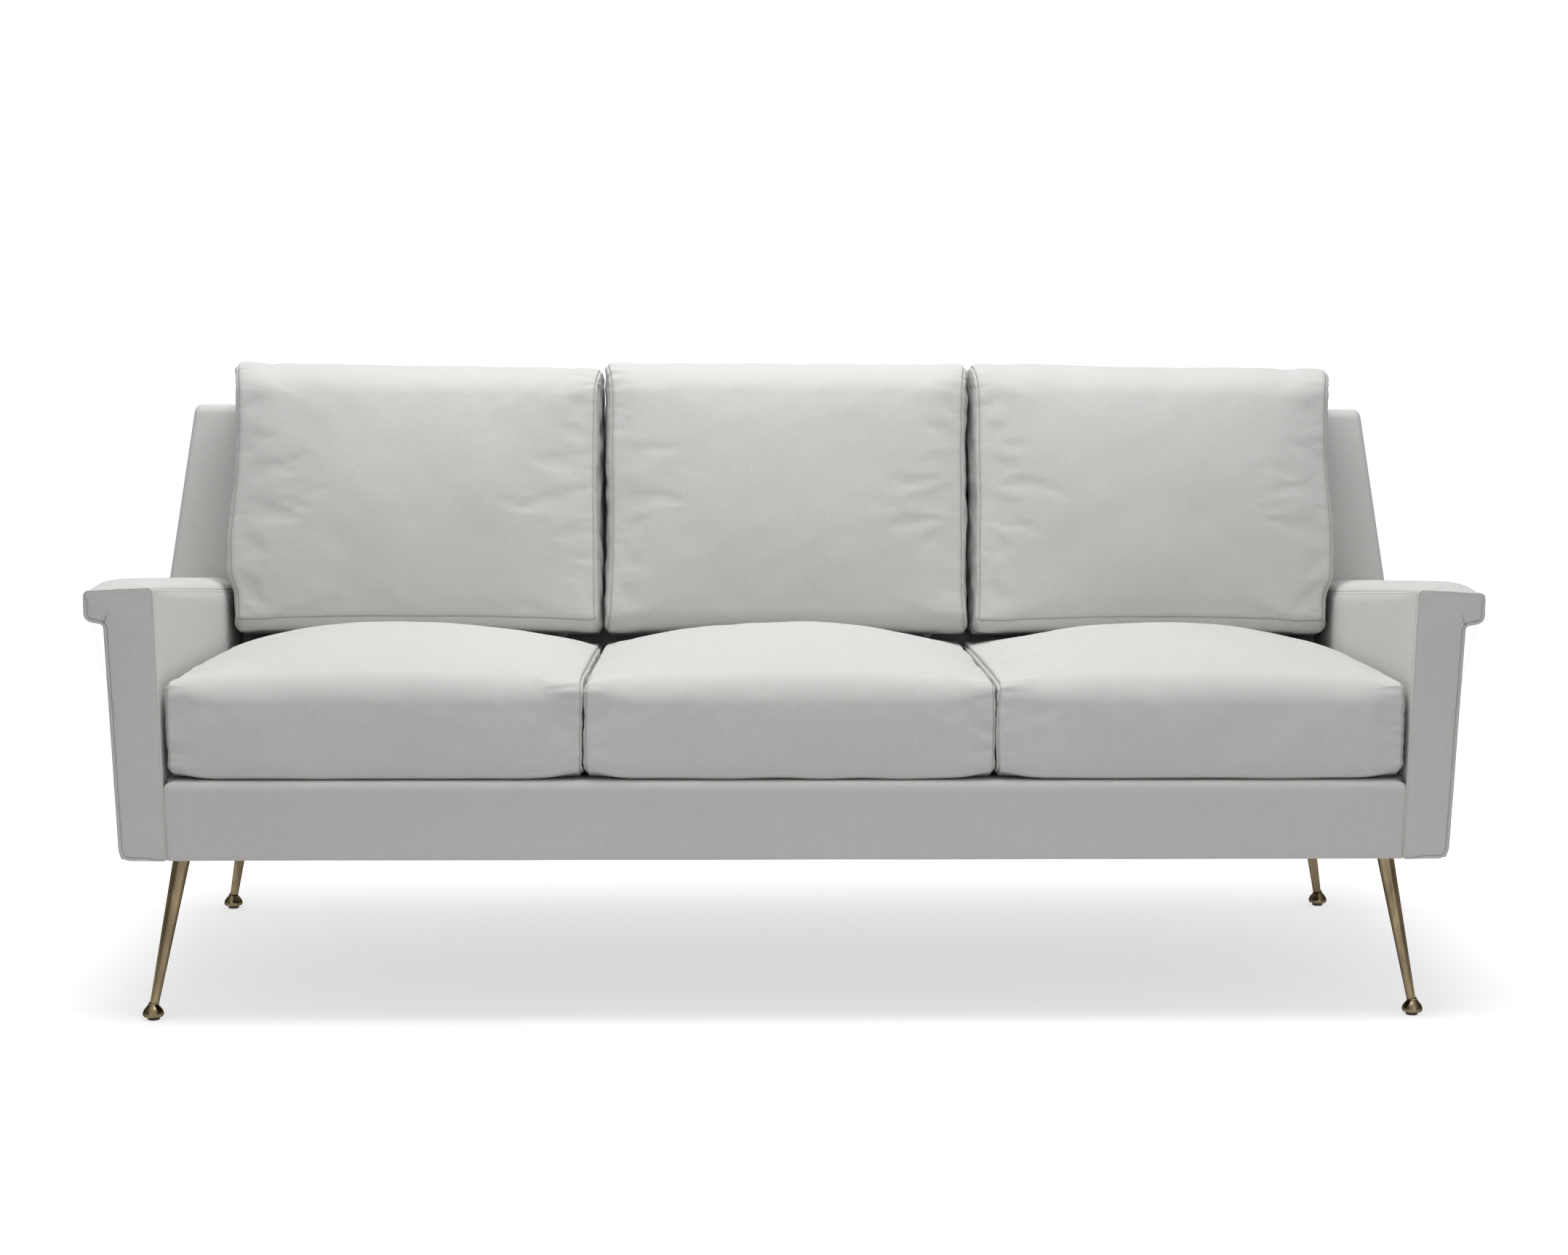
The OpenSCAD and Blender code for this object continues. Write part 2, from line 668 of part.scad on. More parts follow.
// Share of the crown at a place along and across, and how much of the side is drawn in there
function swell(p, half, l) =
  (max(0, 1 - (p[0] / half) ^ 2) * max(0, sin(180 * min(1, max(0, p[1] / l))))) ^ crown_power;
function drawn(x, along, half, l) = x * (1 - draw_in / half * sin(180 * min(1, max(0, along / l))));
function cushion_loop(half, l, t, crown, rounds, place) = [
  for (q = cushion_outline(l, t, place[1], rounds))
    [drawn(place[0], q[0], half, l), q[0], q[1] + crown * swell([place[0], q[0]], half, l) * (q[1] / t) ^ 2]
];
function cushion_loops(half, l, t, crown, rounds) = [
  for (place = across(half)) cushion_loop(half, l, t, crown, rounds, place)
];
function cushion_tips(half, l, t) = [for (side = [-1, 1]) [drawn(side * half, l / 2, half, l), l / 2, t / 2]];

// Places of the three cushions across the sofa, from the left
function seat_x(k) = (k - 1) * seat_share_w;
function cushion_x(k) = (k - 1) * cushion_pitch;

// The seat cushions close in with the arms, and the outer back cushions draw in between the arms
function close_in(p, x) = [
  (p[0] + x) * (1 - arm_toe / deck_l * (p[1] + seat_set) / seat_half), p[1] + seat_set, p[2] + seat_rest
];
function stand_up(p, x) =
  let (in_share = p[0] * x > 0 ? foot_in / cushion_half * max(0, 1 - p[1] / seat_t) : 0)
  [x + p[0] * (1 - in_share), -p[2] - slide_gap, p[1] + lift];

seat_rounds = [seat_nose, seat_rear_round, low_round, low_round];
cushion_rounds = [cushion_front_round, cushion_top_round, cushion_foot_round, low_round];
core_half_seat = seat_cushion_half * (1 - arm_toe / seat_half) - core_side_wall;
core_half_back = cushion_half - foot_in - core_side_wall;

// The space for the foam core and the slot of the zip, in the deck's frame and in the back's
module seat_room(k, grow, slot) {
  x = seat_x(k) * (1 - arm_toe / seat_half * (seat_d / 2 + seat_set) / deck_l);
  span(
    [x - core_half_seat - grow, seat_set + core_end_wall - grow, core_face_wall - grow],
    [x + core_half_seat + grow, seat_set + seat_d - core_end_wall + grow, seat_t - core_face_wall + grow]
  );
  if (slot)
    span(
      [x - core_half_seat + zip_margin, seat_set + seat_d - 2 * core_end_wall, seat_t / 2 - zip_w / 2],
      [x + core_half_seat - zip_margin, seat_set + seat_d + cut_over, seat_t / 2 + zip_w / 2]
    );
}
module back_room(k, grow, slot) {
  x = cushion_x(k);
  y = -cushion_t / 2 - slide_gap;
  span(
    [x - core_half_back - grow, -cushion_t - slide_gap + core_face_wall - grow, lift + core_end_wall - grow],
    [x + core_half_back + grow, -slide_gap - core_face_wall + grow, lift + cushion_h - core_end_wall + grow]
  );
  if (slot)
    span(
      [x - core_half_back + zip_margin, y - zip_w / 2, lift - cut_over],
      [x + core_half_back - zip_margin, y + zip_w / 2, lift + 2 * core_end_wall]
    );
}

module seat_cushion(k) color(fabric) on_deck() difference() {
  skin(
    [
      for (loop = cushion_loops(seat_cushion_half, seat_d, seat_t, seat_crown, seat_rounds))
        [for (p = loop) close_in(p, seat_x(k))]
    ],
    [for (p = cushion_tips(seat_cushion_half, seat_d, seat_t)) close_in(p, seat_x(k))]
  );
  seat_room(k, fit_gap, true);
}

module back_cushion(k) color(fabric) on_back() difference() {
  skin(
    [
      for (loop = cushion_loops(cushion_half, cushion_h, cushion_t, cushion_crown, cushion_rounds))
        [for (p = loop) stand_up(p, cushion_x(k))]
    ],
    [for (p = cushion_tips(cushion_half, cushion_h, cushion_t)) stand_up(p, cushion_x(k))]
  );
  back_room(k, fit_gap, true);
}

module seat_core(k) color(foam) on_deck() seat_room(k, 0, false);
module back_core(k) color(foam) on_back() back_room(k, 0, false);

// A zip fills its slot, flush with the cushion's face; its slider waits at the closed right end
module zip(half) span(
  [-half + fit_gap, -zip_w / 2 + fit_gap, 0], [half - fit_gap, zip_w / 2 - fit_gap, zip_t]
);
module slider(half) translate([half - slider_l, 0, -slider_gap]) {
  translate([-slider_l / 2, -slider_w / 2, -slider_t]) cube([slider_l, slider_w, slider_t]);
  translate([-slider_l / 2 - pull_l + pull_w, -pull_w / 2, -slider_t]) cube([pull_l, pull_w, pull_t]);
}
// The frames of the zips: +Z points into the cushion
module on_seat_zip(k) {
  x = seat_x(k) * (1 - arm_toe / seat_half * (seat_d / 2 + seat_set) / deck_l);
  on_deck() translate([x, seat_set + seat_d, seat_t / 2]) rotate([90, 0, 0]) children();
}
module on_back_zip(k) on_back()
  translate([cushion_x(k), -cushion_t / 2 - slide_gap, lift]) children();

module seat_zip(k) color(lining) on_seat_zip(k) zip(core_half_seat - zip_margin);
module back_zip(k) color(lining) on_back_zip(k) zip(core_half_back - zip_margin);
module seat_slider(k) color(steel) on_seat_zip(k) slider(core_half_seat - zip_margin);
module back_slider(k) color(steel) on_back_zip(k) slider(core_half_back - zip_margin);

leg(leg_places[0]);  // leg_front_left
leg(leg_places[1]);  // leg_front_right
leg(leg_places[2]);  // leg_rear_left
leg(leg_places[3]);  // leg_rear_right
ball_feet();
floor_glides();
leg_studs();
leg_plates();
plate_screws();
front_rail();
seat_back_rail();
rear_rail();
side_rail(-1);  // side_rail_left
side_rail(1);  // side_rail_right
seat_stretchers();
corner_blocks();
arm_posts(-1);  // arm_posts_left
arm_posts(1);  // arm_posts_right
arm_board(-1);  // arm_board_left
arm_board(1);  // arm_board_right
back_post_left();
back_post_right();
back_posts_inner();
back_top_rail();
seat_webbing();
back_webbing();
seat_deck();
dust_cover();
rail_cover();
arm_cover(-1);  // arm_cover_left
arm_cover(1);  // arm_cover_right
arm_front(-1);  // arm_front_left
arm_front(1);  // arm_front_right
back_cover();
outside_back();
seat_cushion(0);  // seat_cushion_left
seat_cushion(1);  // seat_cushion_middle
seat_cushion(2);  // seat_cushion_right
seat_core(0);  // seat_core_left
seat_core(1);  // seat_core_middle
seat_core(2);  // seat_core_right
seat_zip(0);  // seat_zip_left
seat_zip(1);  // seat_zip_middle
seat_zip(2);  // seat_zip_right
seat_slider(0);  // seat_slider_left
seat_slider(1);  // seat_slider_middle
seat_slider(2);  // seat_slider_right
back_cushion(0);  // back_cushion_left
back_cushion(1);  // back_cushion_middle
back_cushion(2);  // back_cushion_right
back_core(0);  // back_core_left
back_core(1);  // back_core_middle
back_core(2);  // back_core_right
back_zip(0);  // back_zip_left
back_zip(1);  // back_zip_middle
back_zip(2);  // back_zip_right
back_slider(0);  // back_slider_left
back_slider(1);  // back_slider_middle
back_slider(2);  // back_slider_right
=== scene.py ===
"""A sofa: a slim upholstered body with lipped arms on splayed brass legs, and six loose cushions."""

import math
from types import SimpleNamespace

import bpy
import numpy as np
from mathutils import Matrix, Vector
from mathutils.geometry import delaunay_2d_cdt


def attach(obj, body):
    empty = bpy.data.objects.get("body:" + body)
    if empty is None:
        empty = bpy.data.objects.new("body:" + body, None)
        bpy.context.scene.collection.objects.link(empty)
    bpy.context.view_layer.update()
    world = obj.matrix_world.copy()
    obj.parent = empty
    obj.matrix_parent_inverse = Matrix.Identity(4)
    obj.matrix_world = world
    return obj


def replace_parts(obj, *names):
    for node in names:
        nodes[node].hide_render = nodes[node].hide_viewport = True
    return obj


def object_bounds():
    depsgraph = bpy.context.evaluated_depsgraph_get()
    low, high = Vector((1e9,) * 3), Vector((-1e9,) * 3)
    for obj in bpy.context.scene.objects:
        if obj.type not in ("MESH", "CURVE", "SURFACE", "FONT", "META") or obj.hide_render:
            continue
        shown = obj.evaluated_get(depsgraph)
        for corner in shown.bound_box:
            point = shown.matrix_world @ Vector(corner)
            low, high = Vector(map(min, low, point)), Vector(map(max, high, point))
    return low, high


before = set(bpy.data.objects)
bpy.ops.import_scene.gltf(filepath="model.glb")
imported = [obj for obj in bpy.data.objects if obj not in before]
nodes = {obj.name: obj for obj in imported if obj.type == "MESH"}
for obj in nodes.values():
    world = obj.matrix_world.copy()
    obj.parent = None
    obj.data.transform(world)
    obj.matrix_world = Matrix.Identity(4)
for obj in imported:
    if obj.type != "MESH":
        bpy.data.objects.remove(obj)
cad_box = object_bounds()
MM = 0.001

# Sizes in millimetres, as the solids have them: _T is a thickness, _H a height, _D a depth, _L a length, _W a
# width and _R a radius
LEG_H = 243
RAIL_H = 110
RAIL_SET = 3
RAIL_ROUND = 14
RAIL_LAP = 60
SEAT_PITCH = math.radians(3)
DECK_PAD = 12
ARM_H = 622
ARM_DROP = 57
ARM_T = 65
ARM_LEAN = 13
ARM_TOE = 24
ARM_PAD = 10
ARM_PANEL_T = 10
ARM_ROUND = 16
LIP_OUT = 26
LIP_H = 42
LIP_FALL = 5
LIP_ROUND = 12
BACK_H = 829
BACK_RAKE = math.radians(12)
REAR_RAKE = math.radians(4)
BACK_T = 120.5
BACK_TOP_IN = 4
BACK_ROUND = 14
REAR_PANEL_T = 6
SEAT_T = 136
SEAT_CROWN = 56
SEAT_SET = 6
SEAT_GAP = 4
BACK_CUSHION_H = 425
BACK_CUSHION_T = 137
BACK_CUSHION_CROWN = 28
CUSHION_ROOM = 11
FOOT_IN = 16
SIDE_GAP = 0.5
REST_GAP = 0.4
LIFT_SHARE = 0.21
CROWN_POWER = 0.8
LEG_IN_X = 73
LEG_IN_FRONT = 93
LEG_IN_REAR = 43
LEG_TOP_R = 12.5
LEG_END_R = 6.2
LEG_SPLAY_SIDE = 46
LEG_SPLAY_FORE = 31
GLIDE_H = 4
FOOT_H = 18
PLATE_W = 62
ZIP_W = 5
SLIDER_L = 12
SLIDER_W = 8
SLIDER_T = 3.6
SLIDER_GAP = 0.3
PULL_L = 22
PULL_W = 4
ZIP_MARGIN = 10
CORE_SIDE = 24
CORE_END = 34
CORE_FACE = 20

# Places that follow from them
FRONT = cad_box[0].y / MM
REAR = cad_box[1].y / MM
HALF_W = cad_box[1].x / MM
BODY_HALF = HALF_W - LIP_OUT - ARM_LEAN
SEAT_HALF = BODY_HALF - ARM_T
FRAME_HALF = BODY_HALF - ARM_PAD
BACK_TOP_HALF = BODY_HALF - BACK_TOP_IN
BACK_RUN = (BACK_H - LEG_H - RAIL_H) * math.tan(BACK_RAKE)
DECK_L = (REAR - FRONT - BACK_T - BACK_RUN) / (1 + math.tan(SEAT_PITCH) * math.tan(BACK_RAKE))
SEAT_D = DECK_L - SEAT_SET - SEAT_GAP
DECK_TOP = LEG_H + RAIL_H
FOOT_Y = FRONT + DECK_L
FOOT_Z = DECK_TOP - DECK_L * math.tan(SEAT_PITCH)
ARM_REAR_TOP = ARM_H - ARM_DROP
LIP_LOW = ARM_H - LIP_FALL - LIP_H
SEAT_SHARE_W = 2 * SEAT_HALF / 3
SEAT_CUSHION_HALF = SEAT_SHARE_W / 2 - SIDE_GAP
CUSHION_PITCH = 2 * (SEAT_HALF - CUSHION_ROOM) / 3
BACK_CUSHION_HALF = CUSHION_PITCH / 2 - SIDE_GAP
LIFT = (SEAT_T + LIFT_SHARE * SEAT_CROWN) / math.cos(BACK_RAKE - SEAT_PITCH)
SIDES = ("left", "middle", "right")


def deck_z(y):
    """The height of the deck's top at a depth."""
    return DECK_TOP - (y - FRONT) * math.tan(SEAT_PITCH)


def back_y(z):
    """How far back the front face of the back is at a height."""
    return FOOT_Y + (z - FOOT_Z) * math.tan(BACK_RAKE)


def rear_y(z):
    """The same for its rear face."""
    return REAR - (BACK_H - z) * math.tan(REAR_RAKE)


def panel_y(z):
    """The same for the inside of its rear panel."""
    return rear_y(z) - REAR_PANEL_T / math.cos(REAR_RAKE)


def lean(z):
    """How far an arm's sides lean out at a height."""
    return ARM_LEAN * (z - LEG_H) / (LIP_LOW - LEG_H)


def toe(y):
    """How far an arm's inner face closes in at a depth."""
    return ARM_TOE * (y - FRONT) / DECK_L


def ease(t):
    """From 0 to 1, level at both ends."""
    t = np.clip(t, 0, 1)
    return t * t * (3 - 2 * t)


# ---------------------------------------------------------------- materials


def linear(hex_colour):
    """A hex sRGB colour as linear RGBA."""
    parts = [int(hex_colour[i : i + 2], 16) / 255 for i in (1, 3, 5)]
    return (*[c / 12.92 if c <= 0.04045 else ((c + 0.055) / 1.055) ** 2.4 for c in parts], 1)


def add(tree, kind, settings=None, inputs=None):
    """A node of that kind, with its settings, and its inputs set or linked."""
    made = tree.nodes.new(kind)
    for name, value in (settings or {}).items():
        setattr(made, name, value)
    for name, value in (inputs or {}).items():
        if isinstance(value, bpy.types.NodeSocket):
            tree.links.new(value, made.inputs[name])
        else:
            made.inputs[name].default_value = value
    return made


def material(name, finish):
    """A new material; finish(tree) gives its surface shader's output."""
    made = bpy.data.materials.new(name)
    made.use_nodes = True
    made.node_tree.nodes.clear()
    surface = finish(made.node_tree)
    add(made.node_tree, "ShaderNodeOutputMaterial", {}, {"Surface": surface})
    return made


COORDINATES, MAPPING, NOISE = "ShaderNodeTexCoord", "ShaderNodeMapping", "ShaderNodeTexNoise"
MATH, MAP_RANGE, MIX, BUMP = "ShaderNodeMath", "ShaderNodeMapRange", "ShaderNodeMix", "ShaderNodeBump"
SUM, PRODUCT, PRODUCT_SUM = ({"operation": name} for name in ("ADD", "MULTIPLY", "MULTIPLY_ADD"))
COLOURS = {"data_type": "RGBA"}
WAVE_UNIT = 2 * math.pi / 20  # a Wave texture's period in metres at a scale of 1
# Patterns by how many there are to the metre
SLUBS = 55  # the thicker places in a thread, 18 mm long
MOTTLES = 5  # the cloth's faint clouds, 200 mm across
PATINA = 45  # the brass's darker patches, 22 mm across


def woven(tree, light, dark, shadow, thread_mm, depth_mm, fuzz, sheen, roughness, mapped=True):
    """Plain weave: threads over and under, slubs and soft mottling, and painted shade in the shadow colour
    down in the seams, creases and zip slots, as far as the piece's seam share reaches. It lies on the piece's
    own UV map, in metres, or else on the part's own x and y."""
    where = add(tree, COORDINATES).outputs["Object"]
    uv = add(tree, "ShaderNodeUVMap", {"uv_map": "cloth"}).outputs[0] if mapped else where
    bands = [
        add(
            tree, "ShaderNodeTexWave", {"wave_type": "BANDS", "bands_direction": way, "wave_profile": "SIN"},
            {"Vector": uv, "Scale": WAVE_UNIT / (thread_mm * MM), "Distortion": 1.2, "Detail": 1.0},
        ).outputs["Fac"]
        for way in "XY"
    ]
    cross = add(tree, MATH, PRODUCT, {0: bands[0], 1: bands[1]}).outputs[0]
    slubs = []
    for stretch in ((1, 14, 1), (14, 1, 1)):
        along = add(tree, MAPPING, {}, {"Vector": uv, "Scale": stretch}).outputs[0]
        sizes = {"Vector": along, "Scale": SLUBS, "Detail": 3, "Roughness": 0.65}
        slubs.append(add(tree, NOISE, {}, sizes).outputs["Fac"])
    slub = add(tree, MATH, SUM, {0: slubs[0], 1: slubs[1]}).outputs[0]
    sizes = {"Vector": where, "Scale": MOTTLES, "Detail": 2, "Roughness": 0.5}
    mottle = add(tree, NOISE, {}, sizes).outputs["Fac"]
    tone = add(tree, MATH, PRODUCT_SUM, {0: slub, 1: 0.55, 2: -0.05}).outputs[0]
    tone = add(tree, MATH, PRODUCT_SUM, {0: cross, 1: fuzz, 2: tone}).outputs[0]
    tone = add(tree, MATH, PRODUCT_SUM, {0: mottle, 1: 0.25, 2: tone}).outputs[0]
    tone = add(tree, MAP_RANGE, {}, {"Value": tone, "From Min": 0.3, "From Max": 1.1}).outputs[0]
    colour = add(tree, MIX, COLOURS, {0: tone, 6: linear(dark), 7: linear(light)}).outputs[2]
    # Painted shade: the seam share mixes the colour towards the shadow colour
    seam = add(tree, "ShaderNodeAttribute", {"attribute_name": "seam"}).outputs["Fac"]
    colour = add(tree, MIX, COLOURS, {0: seam, 6: colour, 7: linear(shadow)}).outputs[2]
    height = add(tree, MATH, PRODUCT_SUM, {0: slub, 1: 0.5, 2: cross}).outputs[0]
    bump = add(tree, BUMP, {}, {"Height": height, "Distance": depth_mm * MM, "Strength": 0.6}).outputs[0]
    return add(
        tree, "ShaderNodeBsdfPrincipled", {},
        {
            "Base Color": colour,
            "Roughness": roughness,
            "Sheen Weight": sheen,
            "Sheen Roughness": 0.5,
            "Specular IOR Level": 0.2,
            "Normal": bump,
        },
    ).outputs[0]


def brushed(tree, light, dark, edge, grain_mm, roughness):
    """Brushed metal: fine scratches across the piece, with darker patina in patches."""
    where = add(tree, COORDINATES).outputs["Object"]
    along = add(tree, MAPPING, {}, {"Vector": where, "Scale": (1, 1, 0.06)}).outputs[0]
    fine = {"Vector": along, "Scale": 1 / (grain_mm * MM), "Detail": 2}
    scratch = add(tree, NOISE, {}, fine).outputs["Fac"]
    spots = add(tree, MAPPING, {}, {"Vector": where, "Scale": (1, 1, 0.3)}).outputs[0]
    patina = add(tree, NOISE, {}, {"Vector": spots, "Scale": PATINA, "Detail": 3}).outputs["Fac"]
    tone = add(tree, MATH, PRODUCT_SUM, {0: scratch, 1: 0.4, 2: patina}).outputs[0]
    tone = add(tree, MAP_RANGE, {}, {"Value": tone, "From Min": 0.45, "From Max": 0.9}).outputs[0]
    colour = add(tree, MIX, COLOURS, {0: tone, 6: linear(dark), 7: linear(light)}).outputs[2]
    dull = {"Value": scratch, "To Min": roughness * 0.8, "To Max": roughness * 1.3}
    rough = add(tree, MAP_RANGE, {}, dull).outputs[0]
    bump = add(tree, BUMP, {}, {"Height": scratch, "Distance": 0.02 * MM, "Strength": 0.5}).outputs[0]
    look = {"Base Color": colour, "Metallic": 1.0, "Roughness": rough, "Specular Tint": linear(edge)}
    return add(tree, "ShaderNodeBsdfPrincipled", {}, {**look, "Normal": bump}).outputs[0]


def grained(tree, light, dark, grains, stretch, roughness, depth_mm):
    """A plain solid finish with so many grains to the metre: timber, foam, felt or moulded plastic."""
    where = add(tree, COORDINATES).outputs["Object"]
    along = add(tree, MAPPING, {}, {"Vector": where, "Scale": stretch}).outputs[0]
    grain = add(tree, NOISE, {}, {"Vector": along, "Scale": grains, "Detail": 4}).outputs["Fac"]
    colour = add(tree, MIX, COLOURS, {0: grain, 6: linear(dark), 7: linear(light)}).outputs[2]
    bump = add(tree, BUMP, {}, {"Height": grain, "Distance": depth_mm * MM, "Strength": 0.5}).outputs[0]
    look = {"Base Color": colour, "Roughness": roughness, "Normal": bump}
    return add(tree, "ShaderNodeBsdfPrincipled", {}, look).outputs[0]


EVEN = (1, 1, 1)
# Painted shade: the third colour of each woven cloth below is the shade painted into seams, creases and zip
# slots, on the pieces that carry a seam share.
# Plain-weave polyester in a pale neutral grey: matt, with faint slubs. Its 1 mm threads are drawn at 1.6 mm
# so that they show.
upholstery = material(
    "plain_weave_upholstery", lambda t: woven(t, "#d9d8d6", "#c4c3c1", "#77746f", 1.6, 0.3, 0.35, 0.12, 0.9)
)
# The same weave in a plainer, darker cloth, on the deck under the cushions. Its threads are drawn at 1.8 mm.
deck_cloth = material(
    "plain_weave_deck", lambda t: woven(t, "#bdbcba", "#a9a8a6", "#66635f", 1.8, 0.25, 0.35, 0.05, 0.95)
)
# Spun polyester thread: half matt, a shade darker than the cloth
thread = material("spun_thread", lambda t: grained(t, "#bab8b5", "#a3a19e", 900, EVEN, 0.8, 0.05))
# Antique brass, brushed and lacquered: warm, with a soft streak of light along each leg
brass = material("antique_brass", lambda t: brushed(t, "#8d7f64", "#5e5241", "#4c4334", 0.6, 0.2))
# Zinc-plated steel, rolled: cool and half bright, on the fasteners, sliders and staples
steel = material("zinc_plated_steel", lambda t: brushed(t, "#c4c6c8", "#9a9da0", "#c8cacc", 0.8, 0.35))
# Moulded nylon: black and half matt, on the glides
nylon = material("moulded_nylon", lambda t: grained(t, "#2b2b2b", "#1f1f1f", 400, EVEN, 0.5, 0.02))
# Sawn beech: pale and matt, with grains 17 mm long and 3 mm wide along the front and rear rails
timber = material("sawn_beech", lambda t: grained(t, "#cfae80", "#b48f60", 60, (1, 6, 6), 0.7, 0.2))
# Spun-bonded polypropylene: a dull black felt under the frame
lining = material("spun_lining", lambda t: grained(t, "#33312f", "#242322", 700, EVEN, 0.95, 0.1))
# Woven rubber-cored webbing: dark and matt, with coarse threads of 2.4 mm
webbing = material(
    "elastic_webbing",
    lambda t: woven(t, "#6b6862", "#4c4a46", "#2e2c2a", 2.4, 0.4, 0.5, 0.0, 0.9, mapped=False),
)
# Zip tape of twisted polyester: matt and darker than the cloth, its threads drawn at 1.2 mm. Its moulded
# coil is paler and half bright.
tape_cloth = material(
    "zip_tape_twill",
    lambda t: woven(t, "#b9b7b4", "#9c9a97", "#5c5a57", 1.2, 0.2, 0.4, 0.0, 0.9, mapped=False),
)
coil = material("moulded_polyester_coil", lambda t: grained(t, "#c9c7c3", "#aaa8a4", 500, EVEN, 0.45, 0.02))
# Cut foam: cream, with open pores of 2 mm
foam = material("cut_foam", lambda t: grained(t, "#ece5d4", "#d8cfba", 450, EVEN, 0.95, 0.3))

# ---------------------------------------------------------------- meshes


def piece(name, points, groups, finish, uvs=None, body="frame", slot="upholstery", seam=None):
    """A smooth mesh object at the origin, from points in millimetres. groups holds one array of faces for
    each count of corners, uvs one pair in mm for each face corner, and seam each point's share of the painted
    shade in seams, creases and zip slots."""
    groups = [np.atleast_2d(np.asarray(g, np.int32)) for g in groups]
    corners = np.concatenate([g.ravel() for g in groups])
    sizes = np.concatenate([np.full(len(g), g.shape[1]) for g in groups])
    starts = np.concatenate([[0], np.cumsum(sizes)[:-1]])
    mesh = bpy.data.meshes.new(name)
    mesh.vertices.add(len(points))
    mesh.vertices.foreach_set("co", (np.asarray(points) * MM).astype(np.float32).ravel())
    mesh.loops.add(len(corners))
    mesh.loops.foreach_set("vertex_index", corners)
    mesh.polygons.add(len(starts))
    mesh.polygons.foreach_set("loop_start", starts.astype(np.int32))
    mesh.update(calc_edges=True)
    if uvs is not None:
        layer = mesh.uv_layers.new(name="cloth")
        layer.data.foreach_set("uv", (np.asarray(uvs, np.float32) * MM).ravel())
    if seam is not None:
        layer = mesh.attributes.new("seam", "FLOAT", "POINT")
        layer.data.foreach_set("value", np.asarray(seam, np.float32))
    mesh.polygons.foreach_set("use_smooth", np.ones(len(mesh.polygons), bool))
    mesh.materials.append(finish)
    mesh.validate()
    made = bpy.data.objects.new(name, mesh)
    bpy.context.scene.collection.objects.link(made)
    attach(made, body)
    return made


def mix(a, b, t):
    """The value a share t of the way from a to b."""
    return a + (b - a) * t


def box_grid(a, b, c):
    """The surface of a box with grid lines at a, b and c: points, quads facing out, uvs that run on round the
    front, top and rear, and each point's number. a goes across, b goes along and c up."""
    na, nb, nc = len(a), len(b), len(c)
    number = -np.ones((na, nb, nc), int)
    shell = np.ones((na, nb, nc), bool)
    shell[1:-1, 1:-1, 1:-1] = False
    number[shell] = np.arange(shell.sum())
    points = np.stack(np.meshgrid(a, b, c, indexing="ij"), -1)[shell].astype(float)
    quads, uvs = [], []

    def patch(numbers, u, v, flip):
        """Adds one face of the box, from its points' numbers and the uv of its lines."""
        corners = [numbers[:-1, :-1], numbers[1:, :-1], numbers[1:, 1:], numbers[:-1, 1:]]
        pairs = np.stack(np.meshgrid(u, v, indexing="ij"), -1)
        marks = [pairs[:-1, :-1], pairs[1:, :-1], pairs[1:, 1:], pairs[:-1, 1:]]
        if flip:
            corners, marks = corners[::-1], marks[::-1]
        quads.append(np.stack([x.ravel() for x in corners], -1))
        uvs.append(np.stack([x.reshape(-1, 2) for x in marks], 1).reshape(-1, 2))

    depth, top = b[-1] - b[0], c[-1]
    patch(number[:, :, -1], a, b, False)
    patch(number[:, :, 0], a, -(top - c[0]) - b, True)
    patch(number[:, 0, :], a, c - top, False)
    patch(number[:, -1, :], a, b[0] + depth + top - c, True)
    patch(number[-1, :, :], b, c, False)
    patch(number[0, :, :], b, c, True)
    return points, np.concatenate(quads), np.concatenate(uvs), number


def lines(length, step, near=()):
    """Grid lines from 0 to length about step apart, with closer ones near both ends."""
    near = np.array([0.0, *near])
    middle = length - 2 * near[-1]
    count = max(1, round(middle / step))
    inner = near[-1] + middle * np.arange(1, count) / count
    return np.concatenate([near, inner, (length - near)[::-1]])


